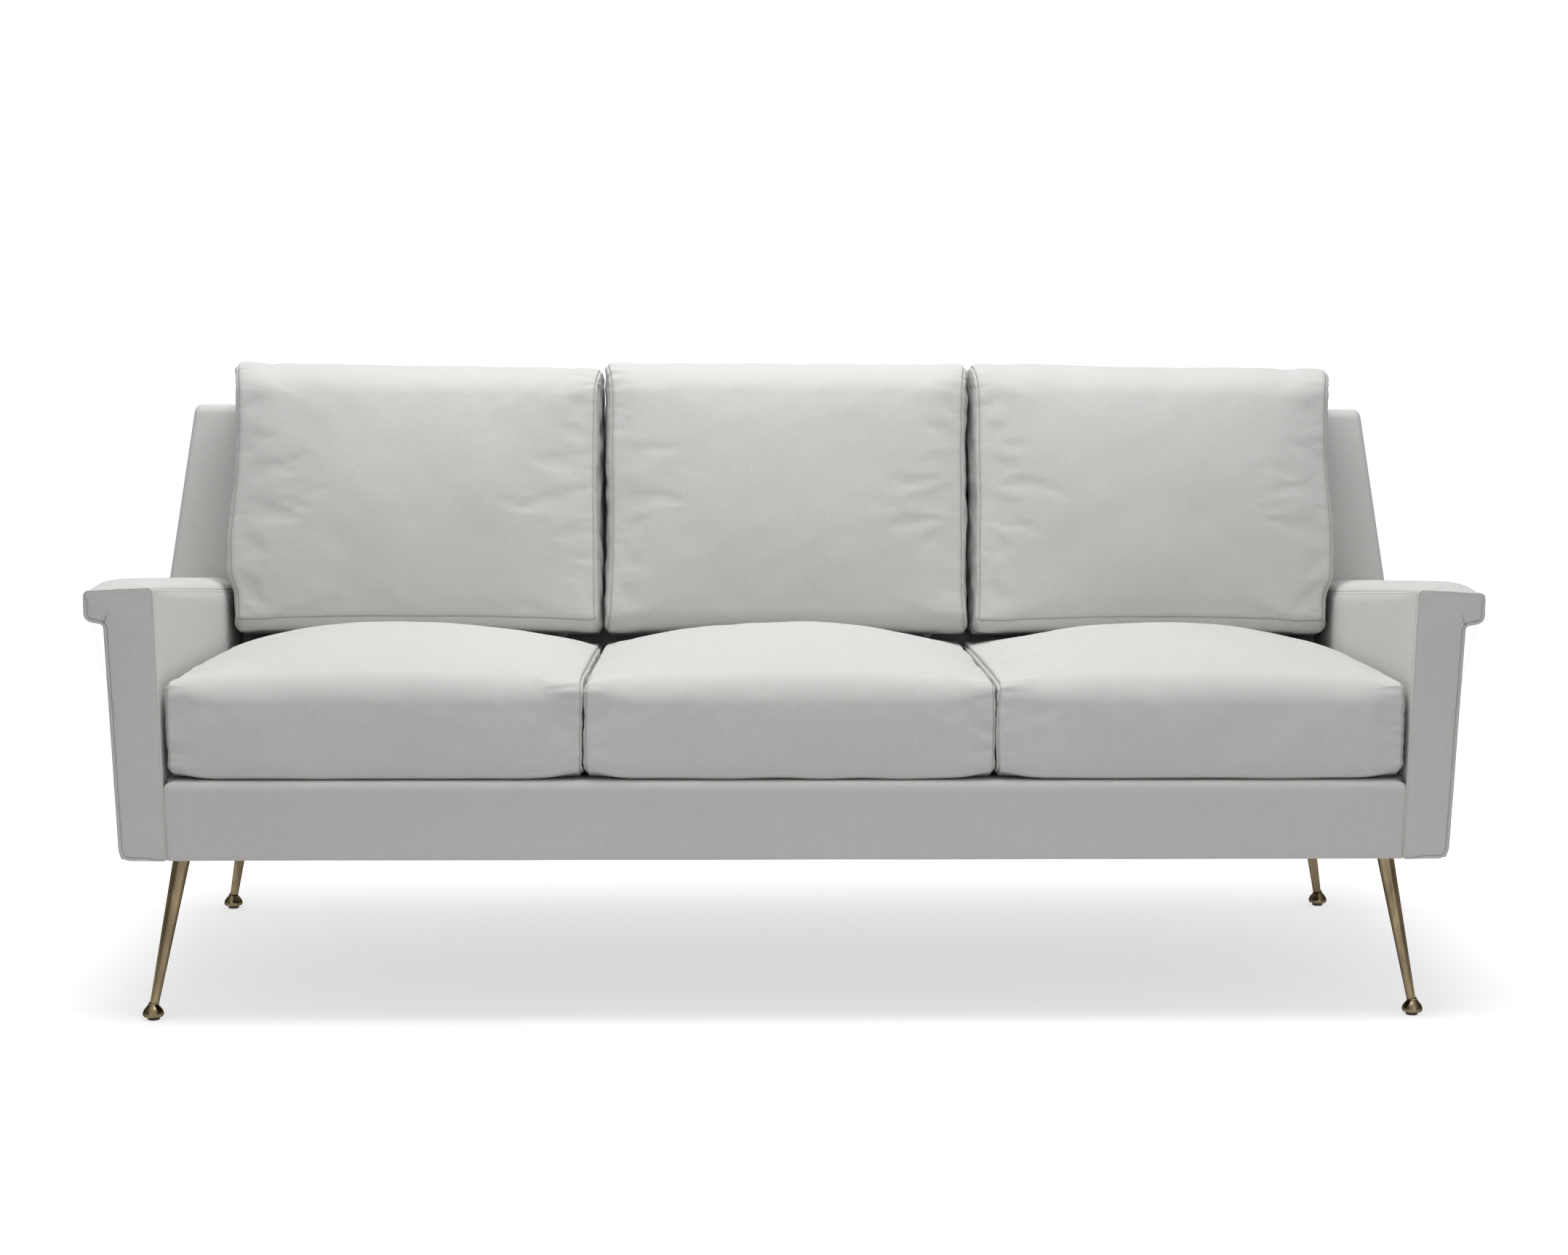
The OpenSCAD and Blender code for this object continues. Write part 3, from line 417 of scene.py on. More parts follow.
def soft_box(points, half, length, height, rounds, rim, corner_round=None, corner_reach=80):
    """Rounds the edges of a box_grid from (-half, 0, 0) to (half, length, height). rounds are the radii of
    the edges that run across: front top, rear top, rear bottom and front bottom. rim is that of the two
    sides. The front top edge may be tighter at its ends: corner_round there, easing off over corner_reach."""
    a, b, c = points.T.copy()
    side = half - np.abs(a)
    on_side = side < 1e-6
    near = np.minimum(np.minimum(b, length - b), np.minimum(c, height - c))
    least = min(min(rounds), rim, corner_round or rim)
    start = rim * (1 - math.sqrt(0.5))
    # How far a point lies in from the outline of the side, and in from the side's own plane
    spread = rim / np.hypot(rim, np.maximum(rim - side, 0))
    panel_in = np.where(side < rim, rim - rim * spread, 0)
    panel_off = np.where(side < rim, rim - (rim - side) * spread, side)
    side_in = np.where(near < least, start + (least - start) * (near / least), near)
    side_off = np.where(side_in < rim, rim - np.sqrt(np.maximum(rim**2 - (rim - side_in) ** 2, 0)), 0)
    inset = np.where(on_side & (near > 1e-6), side_in, panel_in)
    off = np.where(on_side & (near > 1e-6), side_off, panel_off)
    done = np.zeros(len(points), bool)
    fronts = rounds[0] if corner_round is None else mix(corner_round, rounds[0], ease(side / corner_reach))
    for radius, rear, top in zip((fronts, *rounds[1:]), (0, 1, 1, 0), (1, 1, 0, 0)):
        p = radius - (length - b if rear else b)
        q = radius - (height - c if top else c)
        here = (p > 0) & (q > 0) & ~done
        reach = np.maximum(radius - inset, 0) / np.maximum(np.hypot(p, q), 1e-9)
        new_b = radius - p * reach
        new_c = radius - q * reach
        b = np.where(here, length - new_b if rear else new_b, b)
        c = np.where(here, height - new_c if top else new_c, c)
        done |= here
    flat = ~done
    for value, limit in ((b, length), (c, height)):
        low = flat & (np.abs(value - near) < 1e-6) & (value < limit / 2)
        high = flat & (np.abs(limit - value - near) < 1e-6) & (value >= limit / 2)
        value[low] = inset[low]
        value[high] = limit - inset[high]
    a = np.sign(a) * (half - off)
    return np.stack([a, b, c], -1)


def ripple(points, size, seed, count=16):
    """Smooth waves of about that size over the points, mostly from -1 to 1."""
    draw = np.random.default_rng(seed)
    ways = draw.normal(size=(count, 3))
    ways *= (2 * math.pi / size * draw.uniform(0.6, 1.5, count) / np.linalg.norm(ways, axis=1))[:, None]
    return np.sin(points @ ways.T + draw.uniform(0, 2 * math.pi, count)).sum(1) / math.sqrt(count)


def normals_of(points, quads):
    """Each point's outward direction, from the quads round it."""
    corner = points[quads]
    face = np.cross(corner[:, 2] - corner[:, 0], corner[:, 3] - corner[:, 1])
    total = np.zeros_like(points)
    for k in range(4):
        np.add.at(total, quads[:, k], face)
    return total / np.maximum(np.linalg.norm(total, axis=1, keepdims=True), 1e-12)


MOST_CUT = 0.46  # the largest share of a side that a rounded corner takes, so that two never meet


def soften(points, cuts, steps):
    """An outline with each corner rounded by the length given for it."""
    made = []
    points = [np.array(p, float) for p in points]
    for i, p in enumerate(points):
        before, after = points[i - 1], points[(i + 1) % len(points)]
        if not cuts[i]:
            made.append(p)
            continue
        start = p + (before - p) * min(cuts[i] / np.linalg.norm(before - p), MOST_CUT)
        end = p + (after - p) * min(cuts[i] / np.linalg.norm(after - p), MOST_CUT)
        for k in range(steps + 1):
            t = k / steps
            made.append(start * (1 - t) ** 2 + 2 * p * t * (1 - t) + end * t**2)
    return np.array(made)


def divided(outline, step_counts):
    """A closed outline with each side cut in as many parts as step_counts gives for it."""
    made = []
    for i, p in enumerate(outline):
        q = outline[(i + 1) % len(outline)]
        made += [mix(p, q, k / step_counts[i]) for k in range(step_counts[i])]
    return np.array(made)


def side_counts(outline, step):
    """In how many parts each side of a closed outline is cut, for parts about step long."""
    return [
        max(1, int(round(float(np.linalg.norm(outline[(i + 1) % len(outline)] - p)) / step)))
        for i, p in enumerate(outline)
    ]


def filled_points(loop, step):
    """Points of a square grid that lie inside a closed 2-D outline."""
    low, high = loop.min(0), loop.max(0)
    ways = [np.arange(low[k] + step / 2, high[k], step) for k in (0, 1)]
    grid = np.stack(np.meshgrid(*ways), -1).reshape(-1, 2)
    after = np.roll(loop, -1, 0)
    up = (loop[:, 1] > grid[:, 1:]) != (after[:, 1] > grid[:, 1:])
    slope = (after[:, 0] - loop[:, 0]) / np.where(after[:, 1] == loop[:, 1], 1, after[:, 1] - loop[:, 1])
    cross = loop[:, 0] + (grid[:, 1:] - loop[:, 1]) * slope
    return grid[(up & (grid[:, :1] < cross)).sum(1) % 2 == 1]


def loft(loops):
    """Quads between loops of as many points each, and uvs: along the loop's length and along the stations."""
    loops = np.asarray(loops, float)
    stations, count = loops.shape[:2]
    numbers = np.arange(stations * count).reshape(stations, count)
    around = np.concatenate([numbers, numbers[:, :1]], 1)
    quads = np.stack([around[:-1, :-1], around[:-1, 1:], around[1:, 1:], around[1:, :-1]], -1).reshape(-1, 4)
    middle = loops[stations // 2]
    u = np.concatenate([[0], np.cumsum(np.linalg.norm(np.roll(middle, -1, 0) - middle, axis=1))])
    v = np.concatenate([[0], np.cumsum(np.linalg.norm(loops[1:, 0] - loops[:-1, 0], axis=1))])
    uu, vv = np.meshgrid(u, v)
    marks = np.stack([uu, vv], -1)
    uvs = np.stack([marks[:-1, :-1], marks[:-1, 1:], marks[1:, 1:], marks[1:, :-1]], -2).reshape(-1, 2)
    return loops.reshape(-1, 3), quads, uvs


# Rows of stitches for each body: paths in millimetres, made into thread at the end
stitched = {"frame": []}

# ---------------------------------------------------------------- arms


INNER_TOP_IN = 6  # how far the inner face stands in at the top of its front
TOE_LESS = 4  # how much less than the solid it closes in at the back
INNER_FALL = 12  # how far the inner edge of the top sinks at the back
ARM_REAR_FALL = 5  # how much further the padding sinks towards the back
CROWN_AT_FRONT = 15  # the crown just behind the front panel, and that at the back
CROWN_AT_REAR = 3
CROWN_SHAPE = ((0.3, 0.8), (0.55, 1), (0.82, 0.95))  # places across the top and the share of the crown there
PANEL_CORNER = 8  # corner cuts of the front panel, and of the cover just behind it and at the back
ROLL_NEAR = 15
ROLL_REAR = 34
FOOT_ROUND = 18
HANG = 2.2  # how far the covers wrap below the frame


def arm_points(y):
    """The arm's section at a depth, from its inner face's foot up over the top and the lip to its outer foot,
    and the corners' cuts."""
    t = (y - FRONT) / (back_y(ARM_REAR_TOP) - FRONT)
    behind = ease((y - FRONT - ARM_PANEL_T) / 90)
    top = ARM_H - (ARM_DROP + ARM_REAR_FALL * behind) * t
    low = top - LIP_FALL - LIP_H
    foot = deck_z(y) - DECK_PAD
    in_top = SEAT_HALF + lean(top) - toe(y) - INNER_TOP_IN * (1 - t) + TOE_LESS * t
    crown = behind * mix(CROWN_AT_FRONT, CROWN_AT_REAR, t)
    outer = [
        (SEAT_HALF + lean(foot) - toe(y) + TOE_LESS * t, foot),
        (in_top, top - INNER_FALL * t),
        *[(mix(in_top, HALF_W, u), top - LIP_FALL * u + crown * rise) for u, rise in CROWN_SHAPE],
        (HALF_W, top - LIP_FALL + 0.45 * crown),
        (HALF_W, low),
        (BODY_HALF + lean(low), low - LIP_FALL),
        (BODY_HALF, LEG_H - HANG * (1 - behind)),
    ]
    roll = mix(PANEL_CORNER, mix(ROLL_NEAR, ROLL_REAR, t), behind)
    foot_round = mix(FOOT_ROUND, 3, behind)
    cuts = [0, roll, *[ARM_ROUND] * len(CROWN_SHAPE), LIP_ROUND, LIP_ROUND, LIP_FALL, foot_round]
    return outer, foot, cuts


def arm_section(y):
    """The whole section with its corners rounded, closed along the frame."""
    outer, foot, cuts = arm_points(y)
    return soften(outer + [(FRAME_HALF, LEG_H), (FRAME_HALF, foot)], cuts + [0, 0], CORNER_STEPS)


CORNER_STEPS = 10
GROOVE = np.array([-1.9, -1.0, 0, 1.0, 1.9])  # places across a seam, and how far each sinks
GROOVE_SINK = np.array([0, 0.35, 0.9, 0.35, 0])
# How much of the painted seam shade each of these places across the groove shows
GROOVE_PAINTED_SHADE = np.array([0, 0.4, 1, 0.4, 0])
PAINTED_SEAM_SHADE = 0.42  # how much painted shade a seam's middle shows


def arm_cover(side):
    """The cover over the arm's top, lip and sides, from behind the front panel to the back, with a seam and a
    row of stitches along the inner edge of its top."""
    sign = -1 if side == "left" else 1
    first = FRONT + ARM_PANEL_T - 0.5
    stations = np.concatenate([np.linspace(0, 0.09, 14), np.linspace(0.1, 1, 56)])
    base = arm_section(first)
    counts = side_counts(base, 9)
    seam = sum(counts[: CORNER_STEPS // 2 + 1])
    loops, row = [], []
    groove_size = len(GROOVE)
    for t in stations:
        # Each station reaches further back above than below, along the back's lean
        ys = mix(first, back_y(ARM_REAR_TOP), t)
        section = divided(arm_section(ys), counts)
        at = section[seam]
        run = section[seam + 1] - section[seam - 1]
        run /= np.linalg.norm(run)
        out = np.array([-run[1], run[0]])
        groove = at + GROOVE[:, None] * run - GROOVE_SINK[:, None] * out
        section = np.concatenate([section[: seam - 1], groove, section[seam + 2 :]])
        shift = t * (section[:, 1] - ARM_REAR_TOP) * math.tan(BACK_RAKE)
        loops.append(np.stack([section[:, 0], ys + shift, section[:, 1]], -1))
        stitch = at - 3.2 * run + 0.1 * out
        row.append((sign * stitch[0], ys + t * (stitch[1] - ARM_REAR_TOP) * math.tan(BACK_RAKE), stitch[1]))
    stitched["frame"].append(np.array(row[1:-1]))
    loops = np.array(loops)
    waves = loops.reshape(-1, 3)
    swing = (0.15 * ripple(waves, 120, 31) * ease((waves[:, 2] - LEG_H) / 60)).reshape(loops.shape[:2])
    loops += swing[..., None] * [0.3, 0, 1] * ease((stations / 0.06))[:, None, None]
    loops[:, :, 0] *= sign
    dark = np.zeros(loops.shape[:2])
    # Painted shade down in the seam's groove along the inner edge of the top
    dark[:, seam - 1 : seam - 1 + groove_size] = 0.6 * PAINTED_SEAM_SHADE * GROOVE_PAINTED_SHADE
    if sign < 0:
        loops, dark = loops[:, ::-1], dark[:, ::-1]
    points, quads, uvs = loft(loops)
    count = loops.shape[1]
    caps = [np.arange(count)[::-1], np.arange(len(points) - count, len(points))]
    ends = np.concatenate([loops[0][::-1][:, [0, 2]], loops[-1][:, [0, 2]]])
    uvs = np.concatenate([uvs, ends])
    made = piece("arm_upholstery_" + side, points, [quads, caps], upholstery, uvs, seam=dark.ravel())
    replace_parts(made, "arm_cover_" + side)
    return made


PANEL_RIM = 4  # the panel's rounded rim, and its tighter one along the top and the inner side
PANEL_RIM_IN = 1.6
PANEL_SEAM = 5.5  # how far the seam lies in from the outer side and the bottom
PANEL_SEAM_IN = 1.8  # and from the top and the inner side
RIM_STEPS = (0.3, 0.8, 1.4, 2.1, 2.9, 3.8, 4.8, 6.5, 9)  # mesh lines in from the outline
SEAM_STEPS = (-1.8, -1.1, -0.55, 0, 0.55, 1.1, 1.8)  # and on both sides of the seam
FOLD_ALONG = np.array([-0.42, 0.91])  # the way of the crease above the lip's notch, and the way across it
FOLD_ACROSS = np.array([0.91, 0.42])
FOLD_L = 24


def distances(points, loop):
    """How far each 2-D point is from a closed outline, and the outline's nearest point to it, by number."""
    start, way = loop, np.roll(loop, -1, 0) - loop
    best = np.full(len(points), 1e9)
    nearest = np.zeros(len(points), int)
    length = np.maximum((way**2).sum(1), 1e-9)
    for i in range(len(loop)):
        share = np.clip(((points - start[i]) @ way[i]) / length[i], 0, 1)
        away = np.linalg.norm(points - start[i] - share[:, None] * way[i], axis=1)
        nearer = away < best
        best[nearer], nearest[nearer] = away[nearer], i
    return best, nearest


def arm_front(side):
    """The padded panel on the arm's front, with its seam just inside its rim."""
    sign = -1 if side == "left" else 1
    outer, _, cuts = arm_points(FRONT)
    outer[0] = (SEAT_HALF, LEG_H - HANG)
    notch = np.array(outer[len(CROWN_SHAPE) + 4])
    outline = soften(outer, [4] + cuts[1:], CORNER_STEPS)
    outline = divided(outline, side_counts(outline, 3.5))
    # The outline's order is up the inner side, over the top, and down the outer side
    low = np.where(outline[:, 1] < LIP_LOW, 1.0, 0.0) * (outline[:, 0] > SEAT_HALF + 24)
    lip = (outline[:, 0] > BODY_HALF + 20) & (outline[:, 1] < ARM_H - 12)
    share = np.maximum(low, np.where(lip, 1.0, 0.0))
    kernel = np.exp(-np.linspace(-2, 2, 13) ** 2)
    share = np.convolve(np.concatenate([share[-6:], share, share[:6]]), kernel / kernel.sum(), "valid")
    seam_in = mix(PANEL_SEAM_IN, PANEL_SEAM, share)
    rings = []
    after, before = np.roll(outline, -1, 0), np.roll(outline, 1, 0)
    run = after - before
    run /= np.maximum(np.linalg.norm(run, axis=1, keepdims=True), 1e-9)
    inward = np.stack([run[:, 1], -run[:, 0]], -1)
    for step in RIM_STEPS:
        rings.append(outline + step * inward)
    for step in SEAM_STEPS:
        rings.append(outline + np.maximum(seam_in + step, 0.15)[:, None] * inward)
    wanted = [*RIM_STEPS] + [None] * len(SEAM_STEPS)
    keep = []
    for ring, step in zip(rings, wanted):
        away, _ = distances(ring, outline)
        least = (np.maximum(seam_in - 2, 0.1) if step is None else step) - 0.12
        near_seam = np.abs(away - seam_in) < 1.3 if step is not None else np.zeros(len(ring), bool)
        keep.append(ring[(away > least) & ~near_seam])
    # A crease runs up from the notch under the lip
    fold_steps = np.arange(3, FOLD_L, 1.6)
    for off in (-3.4, -2.2, -1.3, -0.6, 0, 0.6, 1.3, 2.2, 3.4):
        keep.append(notch + fold_steps[:, None] * FOLD_ALONG + off * FOLD_ACROSS)
    inner = filled_points(outline, 8)
    away, _ = distances(inner, outline)
    keep.append(inner[away > 11])
    count = len(outline)
    spots = [Vector(p) for p in np.concatenate([outline, *keep])]
    edges = [(i, (i + 1) % count) for i in range(count)]
    verts, _, triangles, *_ = delaunay_2d_cdt(spots, edges, [], 1, 1e-4)
    flat = np.array([tuple(v) for v in verts])
    away, nearest = distances(flat, outline)
    rim = mix(PANEL_RIM_IN, PANEL_RIM, share)[nearest]
    y = rim - np.sqrt(np.maximum(rim**2 - np.maximum(rim - away, 0) ** 2, 0))
    y += mix(0.7, 1.3, share[nearest]) * np.exp(-(((away - seam_in[nearest]) / 0.75) ** 2))
    y -= 0.9 * (1 - np.exp(-np.maximum(away - seam_in[nearest], 0) / 9))
    from_notch = flat - notch
    up_fold, off_fold = from_notch @ FOLD_ALONG, from_notch @ FOLD_ACROSS
    fold = np.clip(up_fold / 3, 0, 1) * np.clip((FOLD_L - up_fold) / 16, 0, 1)
    y += fold * (1.5 * np.exp(-((off_fold / 0.9) ** 2)) - 0.8 * np.exp(-(((off_fold + 3) / 2.2) ** 2)))
    y += 0.45 * ripple(np.stack([flat[:, 0], 0 * flat[:, 0], flat[:, 1]], -1), 70, 5)
    y = np.maximum(FRONT + 0.9 + y, FRONT - 0.2)
    y[:count] = FRONT + 0.9 + mix(PANEL_RIM_IN, PANEL_RIM, share)
    back = np.stack([outline[:, 0], np.full(count, FRONT + ARM_PANEL_T - 0.3), outline[:, 1]], -1)
    points = np.concatenate([np.stack([flat[:, 0], y, flat[:, 1]], -1), back])
    total = len(flat)
    here, there = np.arange(count), (np.arange(count) + 1) % count
    sides = np.stack([there, total + there, total + here, here], -1)
    triangles = np.array([list(t) for t in triangles])
    spread = flat[triangles]
    turned = np.cross(spread[:, 1] - spread[:, 0], spread[:, 2] - spread[:, 0]) < 0
    triangles[turned] = triangles[turned][:, ::-1]
    groups = [triangles, sides, total + here[None]]
    points[:, 0] *= sign
    if sign < 0:
        groups = [g[:, ::-1] for g in groups]
    uvs = np.concatenate([points[g.ravel()][:, [0, 2]] for g in groups])
    # Painted shade along the seam inside the rim and down the crease above the lip's notch
    dark = np.zeros(len(points))
    tone = PAINTED_SEAM_SHADE * mix(0.45, 1, share[nearest])
    dark[:total] = tone * np.exp(-(((away - seam_in[nearest]) / 0.7) ** 2))
    dark[:total] += 0.4 * fold * np.exp(-((off_fold / 1.1) ** 2))
    made = piece("arm_front_panel_" + side, points, groups, upholstery, uvs, seam=np.clip(dark, 0, 1))
    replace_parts(made, "arm_front_" + side)
    row = outline + (seam_in + 1.7)[:, None] * inward
    shown = distances(row, outline)[0] > seam_in + 1.2
    row = row[shown & (share < 0.5)]
    path = np.stack([row[:, 0] * sign, np.full(len(row), FRONT + 1.0), row[:, 1]], -1)
    stitched["frame"].append(path[np.linalg.norm(np.diff(path, axis=0, append=path[-1:]), axis=1) < 12])
    return made


for side in ("left", "right"):
    arm_cover(side)
    arm_front(side)

# ---------------------------------------------------------------- rail, deck and back


RAIL_END_ROUND = 12


def rail_cover():
    """The padded cover of the front rail, from its foot over its top and down behind it."""
    face = FRONT + RAIL_SET
    end = face + RAIL_LAP
    inner = face + DECK_PAD
    outline = soften(
        [
            (face, LEG_H),
            (face, deck_z(face)),
            (end, deck_z(end)),
            (end, deck_z(end) - DECK_PAD),
            (inner, deck_z(inner) - DECK_PAD),
            (inner, LEG_H),
        ],
        [3, RAIL_ROUND, 2, 2, 2, 2],
        8,
    )
    outline = divided(outline, side_counts(outline, 8))
    half = SEAT_HALF - 0.2
    xs = lines(2 * half, 12, (0.5, 1.2, 2.2, 3.5, 5, 7, 9.5, 12.5, 16)) - half
    loops = []
    for x in xs:
        tuck = max(0, 1 - (half - abs(x)) / 7) ** 2
        loop = outline.copy()
        low_by = RAIL_END_ROUND - math.sqrt(RAIL_END_ROUND**2 - max(0, RAIL_END_ROUND - half + abs(x)) ** 2)
        height = np.clip((outline[:, 1] - LEG_H) / RAIL_H, 0, 1)
        in_front = outline[:, 0] < FRONT + ARM_PANEL_T - 1
        loop[:, 0] += 1.2 * tuck * (outline[:, 0] < inner - 2)
        loop[:, 1] -= low_by * ease((height - 0.6) / 0.35) * (outline[:, 0] < inner + 8)
        loop[:, 1] -= HANG * (height < 0.02) * (outline[:, 0] < inner - 1)
        here = np.stack([np.full(len(loop), x), 0 * loop[:, 0], loop[:, 1]], -1)
        loop[:, 0] += 0.5 * ripple(here, 160, 41) * (outline[:, 0] < inner - 2) * (1 - tuck)
        across = np.where(in_front, x * (1 + (lean(outline[:, 1])) / half * ease(abs(x) / half * 4 - 3)), x)
        loops.append(np.stack([across, loop[:, 0], loop[:, 1]], -1))
    loops = np.array(loops)[:, ::-1]
    points, quads, uvs = loft(loops)
    count = loops.shape[1]
    caps = [np.arange(count)[::-1], np.arange(len(points) - count, len(points))]
    ends = np.concatenate([loops[0][::-1][:, 1:], loops[-1][:, 1:]])
    made = piece("rail_upholstery", points, [quads, caps], upholstery, np.concatenate([uvs, ends]))
    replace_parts(made, "rail_cover")


TOP_OUT = 6  # how far the padding stands out at the top of the back's sides
REAR_LIP_LOW = ARM_REAR_TOP - LIP_FALL - LIP_H  # the foot of the arms' lip at the back


def outline_half(z):
    """Half the width of the back at a height."""
    heights = [LEG_H, REAR_LIP_LOW - LIP_FALL - 2, REAR_LIP_LOW + 3, ARM_REAR_TOP - LIP_FALL, BACK_H]
    halves = [BODY_HALF, BODY_HALF + lean(REAR_LIP_LOW), HALF_W, HALF_W, BACK_TOP_HALF + TOP_OUT]
    return np.interp(z, heights, halves)


def back_block(name, front_of, rear_of, inset, rounds, rim, falls):
    """A block with the back's outline between a front and a rear surface; its top falls towards the rear."""
    height = BACK_H - LEG_H - 2 * inset
    half = BACK_TOP_HALF - inset
    near = (1, 2.2, 3.6, 5.2, 7, 9, 11.5, 14.5, 18)
    a = lines(2 * half, 16, near) - half
    lip_foot = REAR_LIP_LOW - LEG_H + np.array([-8, -6, -2, 2, 5, 9])
    lip_top = ARM_REAR_TOP - LIP_FALL - LEG_H + np.array([-6, -2, 0, 3, 7])
    b = np.unique(np.concatenate([lines(height, 12, near), lip_foot, lip_top]))
    c = lines(BACK_T, 10, (1, 2.2, 3.6, 5.2, 7, 9, 11.5, 14.5))
    points, quads, uvs, _ = box_grid(a, b, c)
    points = soft_box(points, half, height, BACK_T, rounds, rim)
    z = LEG_H + inset + points[:, 1]
    wide = outline_half(z) - inset
    x = points[:, 0] / half * wide
    y = mix(rear_of(z), front_of(z), points[:, 2] / BACK_T)
    z -= mix(falls[1], falls[0], points[:, 2] / BACK_T) * ease((z - BACK_H + 40) / 40)
    made = piece(name + "_sewn", np.stack([x, y, z], -1), [quads], upholstery, uvs)
    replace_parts(made, name)
    return made


rail_cover()
back_block("back_cover", back_y, panel_y, 0, (3, BACK_ROUND, 8, 3), 10, (0, 7))
back_block("outside_back", lambda z: panel_y(z) + 0.2, rear_y, 2, (2, 8, 8, 2), 9, (9, 10))


def seat_deck():
    """The padded deck that the seat cushions lie on."""
    start = FRONT + RAIL_SET + RAIL_LAP
    half = SEAT_HALF + ARM_PAD
    length = back_y(FOOT_Z) + 10 - start
    a = lines(2 * half, 40, (1, 3)) - half
    b = lines(length, 30, (1, 3))
    c = lines(DECK_PAD, 6, (1,))
    points, quads, uvs, _ = box_grid(a, b, c)
    y = start + points[:, 1]
    points = np.stack([points[:, 0], y, deck_z(y) - DECK_PAD + points[:, 2]], -1)
    made = piece("deck_pad", points, [quads], deck_cloth, uvs, slot="deck_cloth")
    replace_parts(made, "seat_deck")


seat_deck()

# ---------------------------------------------------------------- cushions

NEAR_SIDE = (1.4, 2.9, 4.6, 7, 10.5, 15, 21)  # grid lines beside a side's seam, on the faces that run across
NEAR_END = (0.8, 1.7, 2.8, 4.4, 6.8, 9.8)  # and on the side itself
ACROSS_STEP = 7
ALONG_STEP = 3.4
ZIP_LINES = (-7, -5.8, -4.6, -3.6, -2.7, -2.4, 0, 2.4, 2.7, 3.6, 4.6, 5.8, 7)  # lines beside a zip
FOOT_LINES = (-2.6, -1.6, -0.8, 0, 0.8, 1.6, 2.6)  # and beside the foot seam
FOOT_BOW = 6
CORNER_UP = 12
CORNER_UP_REACH = 36
SEAM_DEPTH = 1.7
SEAM_HALF = 0.95


def swell(a, b, half, length):
    """Share of the crown at a place across and along a cushion."""
    across = np.maximum(0, 1 - (a / half) ** 2)
    return (across * np.maximum(0, np.sin(math.pi * np.clip(b / length, 0, 1)))) ** CROWN_POWER


PAD_FOOT_IN = 4.5  # how far the outer back pads draw in at the arms' foot
PAD_SPREAD = (-1, 6)  # how far the left and the right one spread at their top, and bulge just above the arms
PAD_BELLY = (13, 9)
ARM_CLEAR = 48
PAD_TOP_LESS = ((5.5, 10), (2, 2), (1, 6.5))  # how much lower than its solid each pad's top is at its ends
PADS_ASIDE = 4.5  # how far the gaps between the back pads are to the right of even shares


def on_seat(x, s, h):
    """Points of the part, from their places across, back along the deck and up off it."""
    y = FRONT + s * math.cos(SEAT_PITCH) + h * math.sin(SEAT_PITCH)
    return np.stack([x, y, DECK_TOP - s * math.sin(SEAT_PITCH) + h * math.cos(SEAT_PITCH)], -1)


def on_back(x, out, up):
    """Points of the part, from their places across, behind the back's face and up along it."""
    y = FOOT_Y + out * math.cos(BACK_RAKE) + up * math.sin(BACK_RAKE)
    return np.stack([x, y, FOOT_Z - out * math.sin(BACK_RAKE) + up * math.cos(BACK_RAKE)], -1)


def drawn_in(s):
    """What the arms' closing in leaves of a width, at a place back along the deck."""
    return 1 - ARM_TOE / DECK_L * s / SEAT_HALF


def place_seat(points, x):
    """From a seat cushion's own axes to the part's: it lies on the deck and closes in with the arms."""
    a, s, h = points[:, 0], points[:, 1] + SEAT_SET, points[:, 2] + REST_GAP
    return on_seat((a + x) * drawn_in(s), s, h)


def aside(x):
    """Moves what is between the back's ends a little to the right, and the ends themselves not at all."""
    return x + PADS_ASIDE * np.clip((SEAT_HALF - np.abs(x)) / CUSHION_PITCH, 0, 1)


def place_back(points, x):
    """From a back cushion's own axes to the part's: it leans on the back and draws in at the arm's side."""
    a, up, out = points[:, 0], points[:, 1], -points[:, 2] - REST_GAP
    outer = a * x > 0
    in_share = np.where(outer, PAD_FOOT_IN / BACK_CUSHION_HALF * np.maximum(0, 1 - up / SEAT_T), 0)
    hand = int(x > 0)
    spread = PAD_SPREAD[hand] + PAD_BELLY[hand] * np.exp(-(((up - 120) / 130) ** 2))
    in_share -= np.where(outer, spread / BACK_CUSHION_HALF * ease((up - ARM_CLEAR) / 45), 0)
    lower = mix(*PAD_TOP_LESS[round(x / CUSHION_PITCH) + 1], (a / BACK_CUSHION_HALF + 1) / 2)
    up = up + LIFT - lower * np.clip(up / BACK_CUSHION_H, 0, 1) ** 2
    return on_back(aside(x + a * (1 - in_share)), out, up)


def seam_marks(box, half, length, height, rim):
    """How far each point of a cushion's box is from the seam of its side, and its place along that seam,
    which runs up the front, back over the top, down the rear and forwards underneath."""
    a, b, c = box.T
    side = half - np.abs(a)
    near = np.stack([b, height - c, length - b, c])
    edge = np.argmin(near, axis=0)
    turn = rim * (math.pi / 4 - np.arctan((rim - side) / rim))
    on_face = np.where(side < rim, turn, side - rim + rim * math.pi / 4)
    away = np.where(side < 1e-6, near.min(0), on_face)
    along = np.choose(edge, [c, height + b, height + length + height - c, 2 * height + 2 * length - b])
    return away, along


def puckers(along, away, total, seed, spacing=12.0, reach=9.0):
    """Short creases and puffs that run off a seam: positive stands out."""
    draw = np.random.default_rng(seed)
    made = np.zeros(len(along))
    place = 0.0
    close = away < 6 * reach
    while place < total:
        place += spacing * draw.uniform(0.45, 1.6)
        size = draw.uniform(0.2, 1.0) * draw.choice([-1.0, 0.7])
        width, far = draw.uniform(2.8, 5.5), reach * draw.uniform(0.5, 1.5)
        slant = draw.uniform(-0.35, 0.35)
        here = close & (np.abs(along - place) < 6 * width + 25)
        wave = np.exp(-(((along[here] - place - slant * away[here]) / width) ** 2))
        made[here] += size * wave * (away[here] / far) * np.exp(1 - away[here] / far)
    return made


